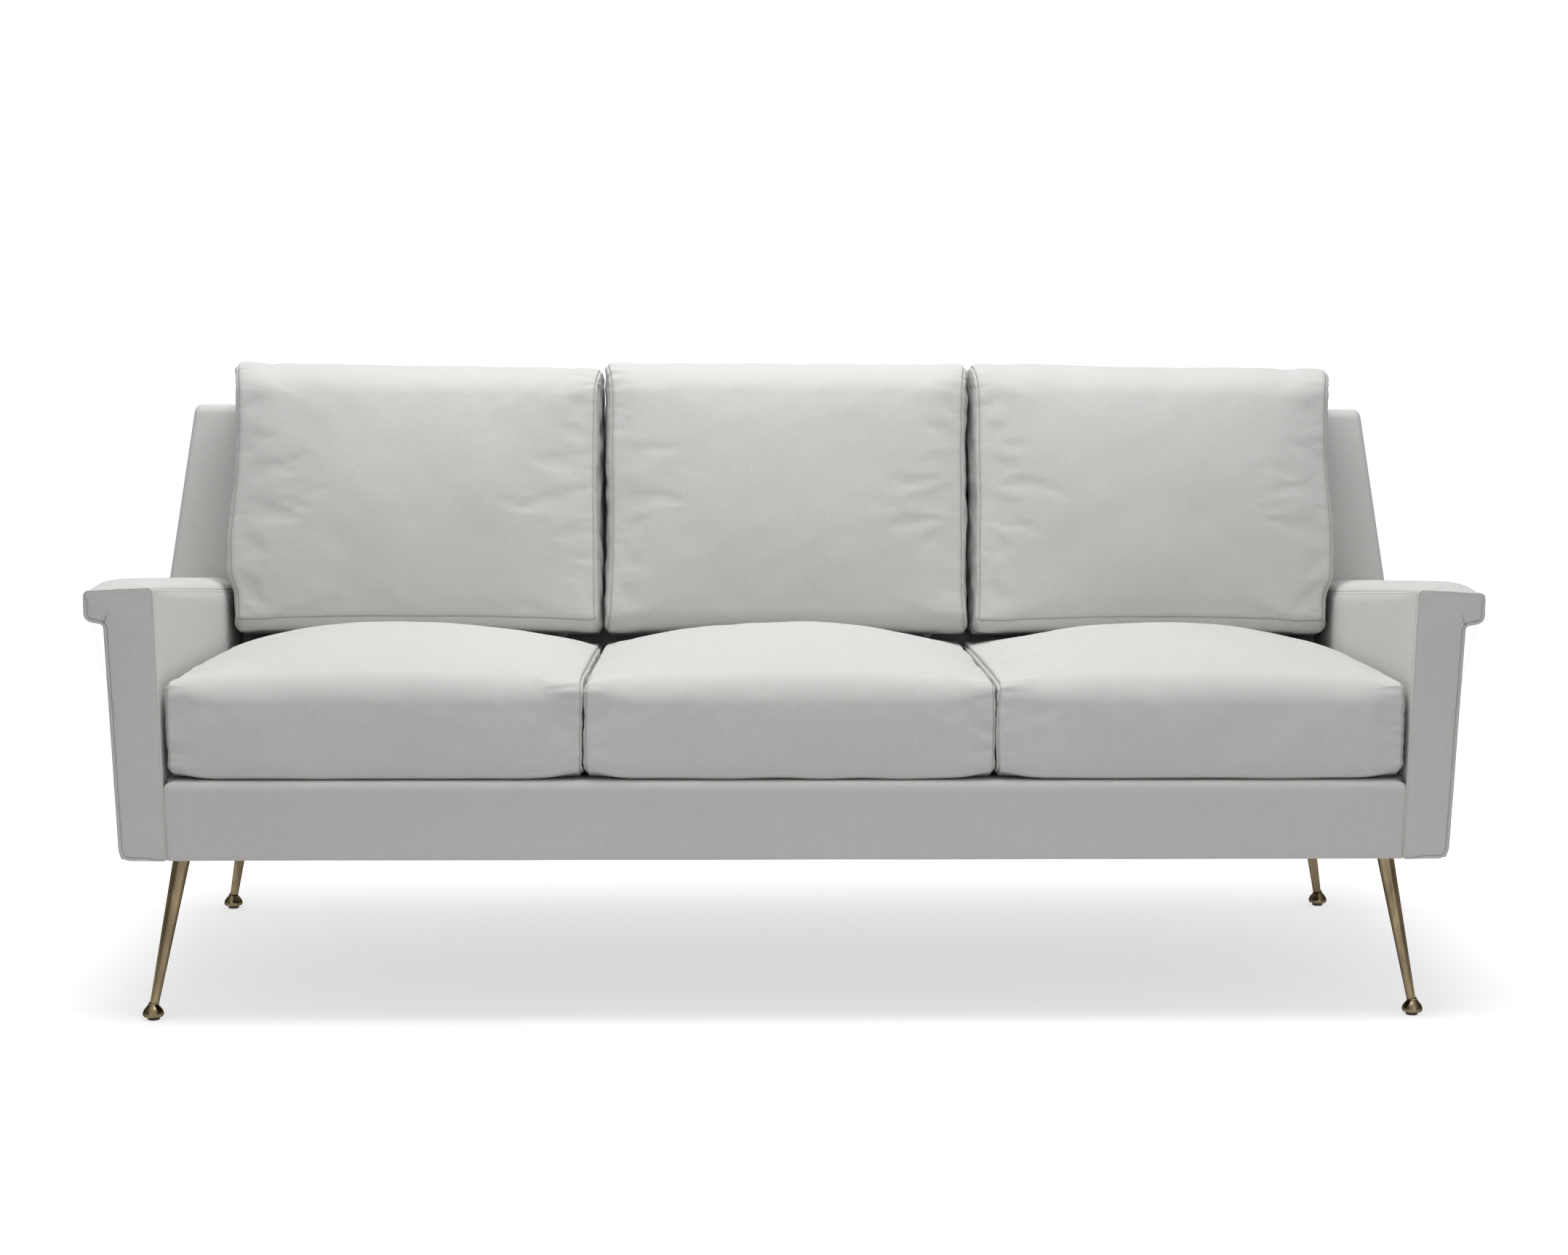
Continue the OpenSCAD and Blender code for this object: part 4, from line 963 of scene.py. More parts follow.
PLUMP = 3  # how much higher the seat's cloth stands than its solid
PUCKER_MM = 1.3  # how much the puckers and the soft dents move the cloth
DENT_MM = 1.1
SLOT_DEPTH = 2.2  # the zip's slot, and the lips of cloth that rise beside it
SLOT_HALF = 2.6
ZIP_LIP_H = 0.8
ZIP_LIP_AT = 5.8
ZIP_LIP_W = 1.2
SEAT_REAR_HALF = SEAT_CUSHION_HALF * (1 - ARM_TOE / SEAT_HALF)  # half widths at the rear and at the foot
BACK_FOOT_HALF = BACK_CUSHION_HALF - FOOT_IN
ZIP_HALF_SEAT = SEAT_REAR_HALF - CORE_SIDE - ZIP_MARGIN
ZIP_HALF_BACK = BACK_FOOT_HALF - CORE_SIDE - ZIP_MARGIN


class Cushion(SimpleNamespace):
    """What is the same for all pads of a kind: its size, its crown, how round its edges are, how its sides
    pull in, and where its zip and seams are."""

    def form(self, box, rounds):
        """The plump pad that a box_grid's points become, in the pad's own axes."""
        half, length, height = self.half, self.length, self.height
        points = soft_box(box, half, length, height, rounds, self.rim, self.corner_round)
        lift = self.crown * swell(points[:, 0], points[:, 1], half, length)
        across = np.maximum(0, 1 - (points[:, 0] / half) ** 2) ** CROWN_POWER
        lift += self.rise * np.clip(points[:, 1] / length, 0, 1) * (1 - across)
        level = np.clip(points[:, 2] / height, 0, 1)
        points[:, 0] *= 1 - self.bulge / half * np.abs(2 * level - 1) ** 2.2
        points[:, 0] *= 1 - self.draw_in / half * np.sin(math.pi * np.clip(points[:, 1] / length, 0, 1))
        points[:, 2] += lift * level**2
        return points


seat_kind = Cushion(
    half=SEAT_CUSHION_HALF, length=SEAT_D, height=SEAT_T, crown=SEAT_CROWN + PLUMP, rise=9,
    rim=9, corner_round=16, bulge=1, draw_in=0, zip_end=1, zip_half=ZIP_HALF_SEAT, place=place_seat,
)
back_kind = Cushion(
    half=BACK_CUSHION_HALF, length=BACK_CUSHION_H, height=BACK_CUSHION_T, crown=BACK_CUSHION_CROWN, rise=0,
    rim=13, corner_round=None, bulge=8, draw_in=2, zip_end=0, zip_half=ZIP_HALF_BACK, place=place_back,
)
FOOT_SEAM = 15  # how far the outer back pads' second seam is above their foot
SEAT_ROUNDS = (32, 26, 14, 14)  # as soft_box takes them
MIDDLE_ROUNDS = (34, 56, 34, 40)
OUTER_ROUNDS = (26, 56, 34, 24)
PADS = []  # kind, name, node, place across, rounds, seed, foot seam, corner where the puckers gather
for k, where in enumerate(SIDES):
    outer = where != "middle"
    PADS.append(
        (
            seat_kind, "seat_pad_" + where, "seat_cushion_" + where, (k - 1) * SEAT_SHARE_W,
            SEAT_ROUNDS, 11 + k, None, SEAT_T,
        )
    )
    PADS.append(
        (
            back_kind, "back_pad_" + where, "back_cushion_" + where, (k - 1) * CUSHION_PITCH,
            OUTER_ROUNDS if outer else MIDDLE_ROUNDS, 21 + k, FOOT_SEAM if outer else None,
            BACK_CUSHION_T + BACK_CUSHION_H,
        )
    )

SIM_STEP = 9  # the simulated cloth's grid, in millimetres
SIM_FRAMES = 14
SIM_PRESSURE = 4.0
SEAM_SHRINK = 0.06  # the most that the cloth shrinks at a seam
WRINKLE_MM = 1.2  # the most that a wrinkle moves a point
SMOOTH_TURNS = 25  # how often the slow swelling is smoothed before it is taken out


def neighbour_mean(values, quads):
    """Each point's mean over its neighbours along the quads' edges."""
    total = np.zeros_like(values)
    count = np.zeros(len(values))
    for k in range(4):
        here, there = quads[:, k], quads[:, (k + 1) % 4]
        np.add.at(total, here, values[there])
        np.add.at(total, there, values[here])
        np.add.at(count, here, 1)
        np.add.at(count, there, 1)
    return total / count[:, None]


def simulated_wrinkles():
    """Blows up each pad's cover as cloth with its side seams shrunk, and keeps the folds that this makes: for
    each pad the grid's lines and how far each grid point moved, without the slow swelling."""
    runs = []
    for kind, name, _, _, rounds, seed, *_ in PADS:
        a = lines(2 * kind.half, SIM_STEP) - kind.half
        b = lines(kind.length, SIM_STEP)
        c = lines(kind.height, SIM_STEP)
        box, quads, _, number = box_grid(a, b, c)
        start = kind.form(box, rounds) + 0.5 * ripple(box, 70, seed + 90)[:, None] * [0.3, 0.3, 1]
        mesh = bpy.data.meshes.new(name + "_cloth")
        mesh.from_pydata((start * MM).tolist(), [], quads.tolist())
        made = bpy.data.objects.new(name + "_cloth", mesh)
        bpy.context.scene.collection.objects.link(made)
        pinned = made.vertex_groups.new(name="pinned")
        pinned.add(np.flatnonzero(box[:, 2] < 1e-6).tolist(), 1.0, "REPLACE")
        seams = made.vertex_groups.new(name="seams")
        away, _ = seam_marks(box, kind.half, kind.length, kind.height, kind.rim)
        close = np.exp(-((away / 16) ** 2))
        for i in np.flatnonzero(close > 0.02):
            seams.add([int(i)], float(close[i]), "REPLACE")
        cloth = made.modifiers.new("cloth", "CLOTH")
        cloth.settings.quality = 4
        cloth.settings.mass = 0.25
        cloth.settings.bending_stiffness = 0.4
        cloth.settings.use_pressure = True
        cloth.settings.uniform_pressure_force = SIM_PRESSURE
        cloth.settings.effector_weights.gravity = 0
        cloth.settings.vertex_group_mass = "pinned"
        cloth.settings.vertex_group_shrink = "seams"
        cloth.settings.shrink_min, cloth.settings.shrink_max = 0, SEAM_SHRINK
        cloth.collision_settings.use_collision = False
        cloth.collision_settings.use_self_collision = False
        runs.append((made, start, quads, number, (a, b, c)))
    for frame_number in range(1, SIM_FRAMES + 1):
        bpy.context.scene.frame_set(frame_number)
    graph = bpy.context.evaluated_depsgraph_get()
    results = []
    for made, start, quads, number, grid in runs:
        flat = np.empty(3 * len(start), np.float32)
        made.evaluated_get(graph).data.vertices.foreach_get("co", flat)
        moved = flat.reshape(-1, 3).astype(float) / MM - start
        slow = moved.copy()
        for _ in range(SMOOTH_TURNS):
            slow = neighbour_mean(slow, quads)
        folds = moved - slow
        size = np.linalg.norm(folds, axis=1, keepdims=True)
        folds *= WRINKLE_MM * np.tanh(0.45 * size / WRINKLE_MM) / np.maximum(size, 1e-9)
        lattice = np.zeros((*number.shape, 3))
        lattice[number >= 0] = folds
        results.append((grid, lattice))
    for made, *_ in runs:
        mesh = made.data
        bpy.data.objects.remove(made)
        bpy.data.meshes.remove(mesh)
    bpy.context.scene.frame_set(1)
    return results


def curve_weights(t):
    """What four points in a row weigh in a smooth curve, a share t of the way between the middle two."""
    return [
        -0.5 * t + t**2 - 0.5 * t**3,
        1 - 2.5 * t**2 + 1.5 * t**3,
        0.5 * t + 2 * t**2 - 1.5 * t**3,
        -0.5 * t**2 + 0.5 * t**3,
    ]


def lines_round(grid, values):
    """For each value the four grid lines round it, by number, and what each weighs."""
    first = np.clip(np.searchsorted(grid, values, side="right") - 1, 0, len(grid) - 2)
    t = np.clip((values - grid[first]) / (grid[first + 1] - grid[first]), 0, 1)
    return [np.clip(first + k - 1, 0, len(grid) - 1) for k in range(4)], curve_weights(t)


def folds_at(box, grid, lattice):
    """The simulated folds at the points of a finer box_grid."""
    parts = [lines_round(grid[axis], box[:, axis]) for axis in range(3)]
    total = np.zeros((len(box), 3))
    for i in range(4):
        for j in range(4):
            for k in range(4):
                weight = parts[0][1][i] * parts[1][1][j] * parts[2][1][k]
                total += weight[:, None] * lattice[parts[0][0][i], parts[1][0][j], parts[2][0][k]]
    return total


def pad(kind, name, node, x, rounds, seed, foot_seam, corner, simulated):
    """A boxed cushion: one piece of cloth runs round its front, top and rear, and each side is sewn in.
    foot_seam is where a second seam crosses the front above its foot."""
    half, length, height = kind.half, kind.length, kind.height
    on_deck = kind is seat_kind
    a = lines(2 * half, ACROSS_STEP, NEAR_SIDE) - half
    b = lines(length, ALONG_STEP, NEAR_END)
    c = lines(height, ALONG_STEP, NEAR_END)
    c = np.sort(np.concatenate([c[np.abs(c - height / 2) > 7.5], height / 2 + np.array(ZIP_LINES)]))
    if foot_seam:
        b = np.sort(np.concatenate([b[np.abs(b - foot_seam) > 3.2], foot_seam + np.array(FOOT_LINES)]))
    box, quads, uvs, number = box_grid(a, b, c)
    points = kind.form(box, rounds)
    away, along = seam_marks(box, half, length, height, kind.rim)
    total = 2 * (length + height)
    depth = np.full(len(points), 1.0)
    if foot_seam:
        # The side's seam ends where the front's foot seam meets it
        in_front = box[:, 2] > height / 2
        depth = np.clip((box[:, 1] - foot_seam + 4) / 8, 0, 1) * in_front + ~in_front
    push = -SEAM_DEPTH * np.exp(-((away / SEAM_HALF) ** 2)) * depth
    push += 0.45 * np.exp(-(((away - 4.5) / 3) ** 2)) * depth
    strong = 0.55 + 0.9 * np.exp(-(((along - corner) / 55) ** 2)) + 0.6 * np.exp(-((along / 30) ** 2))
    for hand in (0, 1):
        here = (box[:, 0] > 0) == bool(hand)
        push[here] += (PUCKER_MM * strong * puckers(along, away, total, seed + 50 * hand))[here]
    on_side = half - np.abs(box[:, 0]) < 1e-6
    push += np.where(on_side, 0.8 * ripple(points, 46, seed + 7) * np.clip(away / 12, 0, 1) - 0.3, 0)
    # Painted shade along the side seams
    dark = PAINTED_SEAM_SHADE * np.exp(-((away / 0.8) ** 2)) * depth
    if foot_seam:
        front = box[:, 2] > height - 1e-6
        cross = np.abs(box[:, 1] - foot_seam) * 0.8
        push -= np.where(front, SEAM_DEPTH * np.exp(-((cross / SEAM_HALF) ** 2)), 0)
        push += np.where(front, 0.8 * puckers(box[:, 0] + half, cross, 2 * half, seed + 9, 16, 7), 0)
        # Painted shade along the foot seam
        dark = np.maximum(dark, np.where(front, PAINTED_SEAM_SHADE * np.exp(-((cross / 0.7) ** 2)), 0))
    # Soft dents and folds of the cloth over its wrap, none where it lies on what carries it
    free = np.clip(box[:, 2] / 20, 0, 1)
    end = np.abs(box[:, 1] - kind.zip_end * length) < 1e-6
    from_zip = np.abs(box[:, 2] - height / 2)
    free = np.where(end, np.clip((from_zip - 8) / 12, 0, 1), free)
    push += free * (DENT_MM * ripple(points, 190, seed + 1) + 0.3 * ripple(points, 60, seed + 2))
    push = np.where(end, np.minimum(push, 0.5 * free), push)
    if simulated:
        folds = folds_at(box, *simulated) * free[:, None]
        outward = np.sign(box[:, 0]) * folds[:, 0]
        folds[:, 0] = np.sign(box[:, 0]) * np.where(on_side, np.minimum(outward, 0.3), outward)
        least, most = (-3, 0.3) if kind.zip_end else (-0.3, 3)
        folds[:, 1] = np.where(end, np.clip(folds[:, 1], least, most), folds[:, 1])
        points += folds
    # The zip's slot and the two folded lips of cloth beside it
    # A seat's zip is set out from the middle of the depth, where the cushion is wider than at its rear
    drawn = [drawn_in(s + SEAT_SET) if on_deck else 1 for s in (SEAT_D / 2, SEAT_D)]
    from_slot = np.abs(points[:, 0] - x * (drawn[0] / drawn[1] - 1))
    beside = end * np.clip((kind.zip_half / drawn[1] - from_slot) / 4, 0, 1)
    lips = ZIP_LIP_H * np.exp(-(((from_zip - ZIP_LIP_AT) / ZIP_LIP_W) ** 2))
    push += beside * (lips - SLOT_DEPTH * (from_zip < SLOT_HALF))
    # Painted shade down in the zip's slot
    dark = np.maximum(dark, beside * PAINTED_SEAM_SHADE * (from_zip < 3.2))
    if on_deck:
        # The front's lower corners turn up a little off the deck
        foot = np.exp(-((box[:, 1] / 26) ** 2)) * np.clip(1 - box[:, 2] / (0.35 * height), 0, 1)
        points[:, 2] += CORNER_UP * foot * np.exp(-(((half - np.abs(box[:, 0])) / CORNER_UP_REACH) ** 2))
        points[:, 2] += foot * (0.7 + 0.6 * ripple(points, 120, seed + 3))
    if foot_seam:
        # The foot's seam bows up between the corners
        near = np.exp(-(((box[:, 1] - foot_seam) / 25) ** 2)) * np.clip(2 * box[:, 2] / height - 1, 0, 1)
        points[:, 1] += FOOT_BOW * near * np.clip(box[:, 1] / foot_seam, 0, 1) * (1 - (box[:, 0] / half) ** 2)
    points = kind.place(points, x)
    normals = normals_of(points, quads)
    points += push[:, None] * normals
    made = piece(name, points, [quads], upholstery, uvs, body=node, seam=np.clip(dark, 0, 1))
    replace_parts(made, node)
    # A row of topstitches beside each side's seam, round the front, the top and the rear
    stitched[node] = []
    for line in (3, len(a) - 4):
        path = [number[line, 0, k] for k in range(len(c))] + [number[line, k, -1] for k in range(1, len(b))]
        path += [number[line, -1, k] for k in range(len(c) - 2, -1, -1)]
        stitched[node].append(points[path] + 0.1 * normals[path])


folds = simulated_wrinkles()
for given, simulated in zip(PADS, folds):
    pad(*given, simulated)

# ---------------------------------------------------------------- stitches


def bead_tree(name, sizes, sides, along_path):
    """Geometry nodes: a bead at even steps along each path. sizes are the inputs in millimetres, and sides
    names the ones for the bead's three sides, the first of them along the path if along_path is set."""
    tree = bpy.data.node_groups.new(name, "GeometryNodeTree")
    face = tree.interface
    face.new_socket("Geometry", in_out="OUTPUT", socket_type="NodeSocketGeometry")
    face.new_socket("Geometry", in_out="INPUT", socket_type="NodeSocketGeometry")
    for label, size in sizes.items():
        face.new_socket(label, in_out="INPUT", socket_type="NodeSocketFloat").default_value = size * MM
    face.new_socket("Finish", in_out="INPUT", socket_type="NodeSocketMaterial")
    given = add(tree, "NodeGroupInput").outputs
    path = add(tree, "GeometryNodeMeshToCurve", {}, {"Mesh": given["Geometry"]}).outputs[0]
    steps = {"Curve": path, "Length": given["Step"]}
    even = add(tree, "GeometryNodeResampleCurve", {"mode": "LENGTH"}, steps).outputs[0]
    spots = add(tree, "GeometryNodeCurveToPoints", {"mode": "EVALUATED"}, {"Curve": even}).outputs
    ball = {"Segments": 6, "Rings": 4, "Radius": 0.5}
    bead = add(tree, "GeometryNodeMeshUVSphere", {}, ball).outputs["Mesh"]
    size = add(tree, "ShaderNodeCombineXYZ", {}, {axis: given[side] for axis, side in zip("XYZ", sides)})
    row = {"Points": spots["Points"], "Instance": bead, "Scale": size.outputs[0]}
    if along_path:
        way = {"Vector": spots["Tangent"]}
        row["Rotation"] = add(tree, "FunctionNodeAlignRotationToVector", {"axis": "X"}, way).outputs[0]
    rows = add(tree, "GeometryNodeInstanceOnPoints", {}, row).outputs[0]
    real = add(tree, "GeometryNodeRealizeInstances", {}, {"Geometry": rows}).outputs[0]
    finished = {"Geometry": real, "Material": given["Finish"]}
    done = add(tree, "GeometryNodeSetMaterial", {}, finished).outputs[0]
    add(tree, "NodeGroupOutput", {}, {"Geometry": done})
    return tree


def follow(name, paths, tree, sizes, finish, body):
    """Runs a tree of geometry nodes over paths in millimetres, and keeps what it makes as a plain mesh."""
    mesh = bpy.data.meshes.new(name + "_paths")
    edges, start = [], 0
    for path in paths:
        edges += [(start + k, start + k + 1) for k in range(len(path) - 1)]
        start += len(path)
    mesh.from_pydata((np.concatenate(paths) * MM).tolist(), edges, [])
    made = bpy.data.objects.new(name, mesh)
    bpy.context.scene.collection.objects.link(made)
    modifier = made.modifiers.new("follow", "NODES")
    modifier.node_group = tree
    sockets = {item.name: item.identifier for item in tree.interface.items_tree if item.in_out == "INPUT"}
    modifier[sockets["Finish"]] = finish
    for label, value in sizes.items():
        modifier[sockets[label]] = value
    made.update_tag()
    bpy.context.view_layer.update()
    ready = made.evaluated_get(bpy.context.evaluated_depsgraph_get())
    result = bpy.data.meshes.new_from_object(ready)
    made.modifiers.remove(modifier)
    made.data = result
    result.name = name
    result.polygons.foreach_set("use_smooth", np.ones(len(result.polygons), bool))
    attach(made, body)
    return made


STITCH = {"Step": 4.2, "Length": 2.9, "Thread": 0.6}
stitch_rows = bead_tree("stitches", STITCH, ("Length", "Thread", "Thread"), True)
for body, paths in stitched.items():
    paths = [path for path in paths if len(path) > 1]
    if paths:
        follow("stitches_" + body, paths, stitch_rows, {}, thread, body)

# ---------------------------------------------------------------- legs and ball feet

TURN_STEPS = 48
LEG_STATIONS = 24
# The ball foot's outline, from its flat underside to the neck: radius and height in millimetres
FOOT_PROFILE = [
    (0, 4), (8.2, 4), (12.6, 4.6), (14, 5.8), (14.7, 7.6), (14.6, 9.4), (13.9, 11.8), (12.6, 14.2),
    (10.8, 16.6), (8.9, 18.8), (7.4, 20.6), (6.6, 22.2), (6.3, 24), (0, 24),
]


def turned(rings):
    """A closed turned shape through rings of (x, y, z, radius), the first and last of them points."""
    angles = np.arange(TURN_STEPS) * 2 * math.pi / TURN_STEPS
    circle = np.stack([np.cos(angles), np.sin(angles), 0 * angles], -1)
    middle = [np.array(r[:3]) + r[3] * circle for r in rings[1:-1]]
    points = np.concatenate([[rings[0][:3]], *middle, [rings[-1][:3]]])
    numbers = 1 + np.arange(len(middle) * TURN_STEPS).reshape(-1, TURN_STEPS)
    after = np.roll(numbers, -1, 1)
    quads = np.stack([numbers[:-1], after[:-1], after[1:], numbers[1:]], -1).reshape(-1, 4)
    low = np.stack([np.zeros(TURN_STEPS, int), after[0], numbers[0]], -1)
    high = np.stack([np.full(TURN_STEPS, len(points) - 1), numbers[-1], after[-1]], -1)
    return points, [quads, np.concatenate([low, high])]


def joined(parts):
    """Several (points, groups) as one."""
    start, points, groups = 0, [], {}
    for own, faces in parts:
        points.append(own)
        for group in faces:
            groups.setdefault(group.shape[1], []).append(group + start)
        start += len(own)
    return np.concatenate(points), [np.concatenate(g) for g in groups.values()]


def smooth_profile(profile, parts):
    """More points through a profile of (radius, height), along a smooth curve."""
    given = np.array(profile, float)
    padded = np.concatenate([given[:1], given, given[-1:]])
    made = [
        np.array(curve_weights(k / parts)) @ padded[i : i + 4]
        for i in range(len(padded) - 3)
        for k in range(parts)
    ]
    return np.array([*made, given[-1]])


LEG_X = BODY_HALF - LEG_IN_X
LEG_FRONT_Y = FRONT + LEG_IN_FRONT
LEG_REAR_Y = rear_y(LEG_H) - LEG_IN_REAR
feet = []
for where, hand in (("left", -1), ("right", 1)):
    for end, y_top, fore in (("front", LEG_FRONT_Y, -1), ("rear", LEG_REAR_Y, 1)):
        name = f"leg_{end}_{where}"
        foot_share = (LEG_H - FOOT_H) / LEG_H
        rings = []
        for k in range(LEG_STATIONS + 1):
            t = k / LEG_STATIONS * foot_share
            centre = (hand * (LEG_X + LEG_SPLAY_SIDE * t), y_top + fore * LEG_SPLAY_FORE * t, LEG_H * (1 - t))
            rings.append((*centre, mix(LEG_TOP_R, LEG_END_R, t / foot_share)))
        rings = [(*rings[0][:3], 0), *rings, (*rings[-1][:3], 0)][::-1]
        tube = piece("brass_" + name, *turned(rings), brass, slot="brass")
        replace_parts(tube, name)
        t = 1 - (GLIDE_H + FOOT_H / 2) / LEG_H
        centre = (hand * (LEG_X + LEG_SPLAY_SIDE * t), y_top + fore * LEG_SPLAY_FORE * t)
        profile = smooth_profile(FOOT_PROFILE[1:-1], 4)
        shape = [(0, FOOT_PROFILE[0][1]), *profile, (0, FOOT_PROFILE[-1][1])]
        feet.append(turned([(*centre, z, r) for r, z in shape]))
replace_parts(piece("brass_ball_feet", *joined(feet), brass, slot="brass"), "ball_feet")

# ---------------------------------------------------------------- zips, sliders and foam

TOOTH_STEP = 2.4
TOOTH = {"Step": TOOTH_STEP, "Thick": 1.3, "Wide": 2.1}
COIL_OFF = 0.75  # how far each row of the coil is from the zip's middle
TAPE_SINK = 0.9


def rounded_block(low, high, radius):
    """A small block with round edges between two corners: points and quads."""
    size = np.array(high, float) - low
    near = (radius * 0.3, radius * 0.65, radius)
    step = max(size) / 3
    a, b, c = (lines(side, step, near) for side in size)
    points, quads, _, _ = box_grid(a - size[0] / 2, b, c)
    points = soft_box(points, size[0] / 2, size[1], size[2], (radius,) * 4, radius)
    return points + [low[0] + size[0] / 2, low[1], low[2]], [quads]


def ring_block(centre, outer, inner, thick, steps=20):
    """A flat ring with a square section, its axis along w."""
    angles = np.arange(steps) * 2 * math.pi / steps
    loops = []
    for radius, w in ((outer, 0), (outer, thick), (inner, thick), (inner, 0)):
        loop = np.stack([radius * np.cos(angles), radius * np.sin(angles), np.full(steps, w)], -1)
        loops.append(loop + centre)
    loops = np.array(loops)
    numbers = np.arange(4 * steps).reshape(4, steps)
    after = np.roll(numbers, -1, 1)
    quads = np.stack([numbers, after, np.roll(after, -1, 0), np.roll(numbers, -1, 0)], -1).reshape(-1, 4)
    return loops.reshape(-1, 3), [quads]


def seat_zip_place(points, k):
    """From a zip's own axes (along it, across it, and into the cushion) to the part's, at a seat's rear."""
    x = (k - 1) * SEAT_SHARE_W * drawn_in(SEAT_D / 2 + SEAT_SET)
    return on_seat(x + points[:, 0], SEAT_SET + SEAT_D - points[:, 2], SEAT_T / 2 + points[:, 1])


def back_zip_place(points, k):
    """The same under a back cushion."""
    x = aside((k - 1) * CUSHION_PITCH + points[:, 0])
    return on_back(x, -BACK_CUSHION_T / 2 - REST_GAP + points[:, 1], LIFT + points[:, 2])


def zip_and_slider(kind, k, place, half, teeth):
    """A cushion's zip: woven tape in its slot, the coil's two rows, and the slider with its pull."""
    where = SIDES[k]
    body = f"{kind}_cushion_{where}"
    length, width = 2 * half - 0.6, ZIP_W - 0.6
    points, quads, _, _ = box_grid(lines(length, 20, (1,)) - length / 2, lines(width, 1.2), lines(1.8, 0.9))
    points += [0, -width / 2, TAPE_SINK]
    points = place(points, k)
    tape = piece(f"{kind}_zip_tape_{where}", points, [quads], tape_cloth, body=body, slot="zip_tape")
    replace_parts(tape, f"{kind}_zip_{where}")
    paths = []
    for off, shift in ((-COIL_OFF, 0), (COIL_OFF, TOOTH_STEP / 2)):
        along = np.arange(-half + 3 + shift, half - 3, 8)
        row = np.stack([along, np.full(len(along), off), np.full(len(along), TAPE_SINK)], -1)
        paths.append(place(row, k))
    follow(f"{kind}_zip_coil_{where}", paths, teeth, {}, coil, body)
    at, top = half - SLIDER_L, -SLIDER_GAP
    end = at - SLIDER_L / 2
    eye = end - PULL_L + PULL_W  # the pull's far end
    # The slider's plate, its bridge and the two posts that carry it, and the pull with a ring at each end
    parts = [
        rounded_block((end, -SLIDER_W / 2, top - 1.5), (at + SLIDER_L / 2, SLIDER_W / 2, top), 0.6),
        rounded_block((at - 4.5, -1.1, top - SLIDER_T), (at + 4.5, 1.1, top - 2.4), 0.4),
        rounded_block((at - 4.5, -1.1, top - 2.9), (at - 2.9, 1.1, top - 1.2), 0.4),
        rounded_block((at + 2.9, -1.1, top - 2.9), (at + 4.5, 1.1, top - 1.2), 0.4),
        ring_block((at, 0, top - 2.3), 2.6, 1.5, 0.8),
        rounded_block((eye + 3, -PULL_W / 2, top - 2.3), (at - 1.8, PULL_W / 2, top - 1.6), 0.3),
        ring_block((eye + 2, 0, top - 2.3), 2, 1, 0.8),
    ]
    points, groups = joined(parts)
    name = f"{kind}_slider_{where}"
    slider = piece(f"{kind}_zip_slider_{where}", place(points, k), groups, steel, body=name, slot="steel")
    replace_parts(slider, f"{kind}_slider_{where}")


def core(kind, k, place, x, half, length, thick):
    """The cut foam block inside a cushion, with its edges eased."""
    size = (2 * (half - CORE_SIDE), length - 2 * CORE_END, thick - 2 * CORE_FACE)
    near = (2, 5)
    points, quads, uvs, _ = box_grid(
        lines(size[0], 60, near) - size[0] / 2, lines(size[1], 60, near), lines(size[2], 30, near)
    )
    points = soft_box(points, size[0] / 2, size[1], size[2], (5,) * 4, 5)
    points = place(points + [0, CORE_END, CORE_FACE], x)
    body = f"{kind}_cushion_{SIDES[k]}"
    made = piece(f"{kind}_foam_{SIDES[k]}", points, [quads], foam, uvs, body=body, slot="foam")
    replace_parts(made, f"{kind}_core_{SIDES[k]}")


coil_rows = bead_tree("zip_coil", TOOTH, ("Thick", "Wide", "Thick"), False)
for k in range(len(SIDES)):
    zip_and_slider("seat", k, seat_zip_place, ZIP_HALF_SEAT, coil_rows)
    zip_and_slider("back", k, back_zip_place, ZIP_HALF_BACK, coil_rows)
    core("seat", k, place_seat, (k - 1) * SEAT_SHARE_W, SEAT_REAR_HALF, SEAT_D, SEAT_T)
    core("back", k, place_back, (k - 1) * CUSHION_PITCH, BACK_FOOT_HALF, BACK_CUSHION_H, BACK_CUSHION_T)

# ---------------------------------------------------------------- dust cover

DUST_STEP = 14
DUST_Z = LEG_H + 0.45
STAPLE_IN = 9  # how far the staples are from the lining's edge
STAPLE = {"Step": 38 * MM, "Length": 9 * MM, "Thread": 0.7 * MM}


def with_more(even, more):
    """Grid lines in order with more of them set in, and none twice."""
    every = np.sort(np.concatenate([even, more]))
    return every[np.append(True, np.diff(every) > 1e-6)]


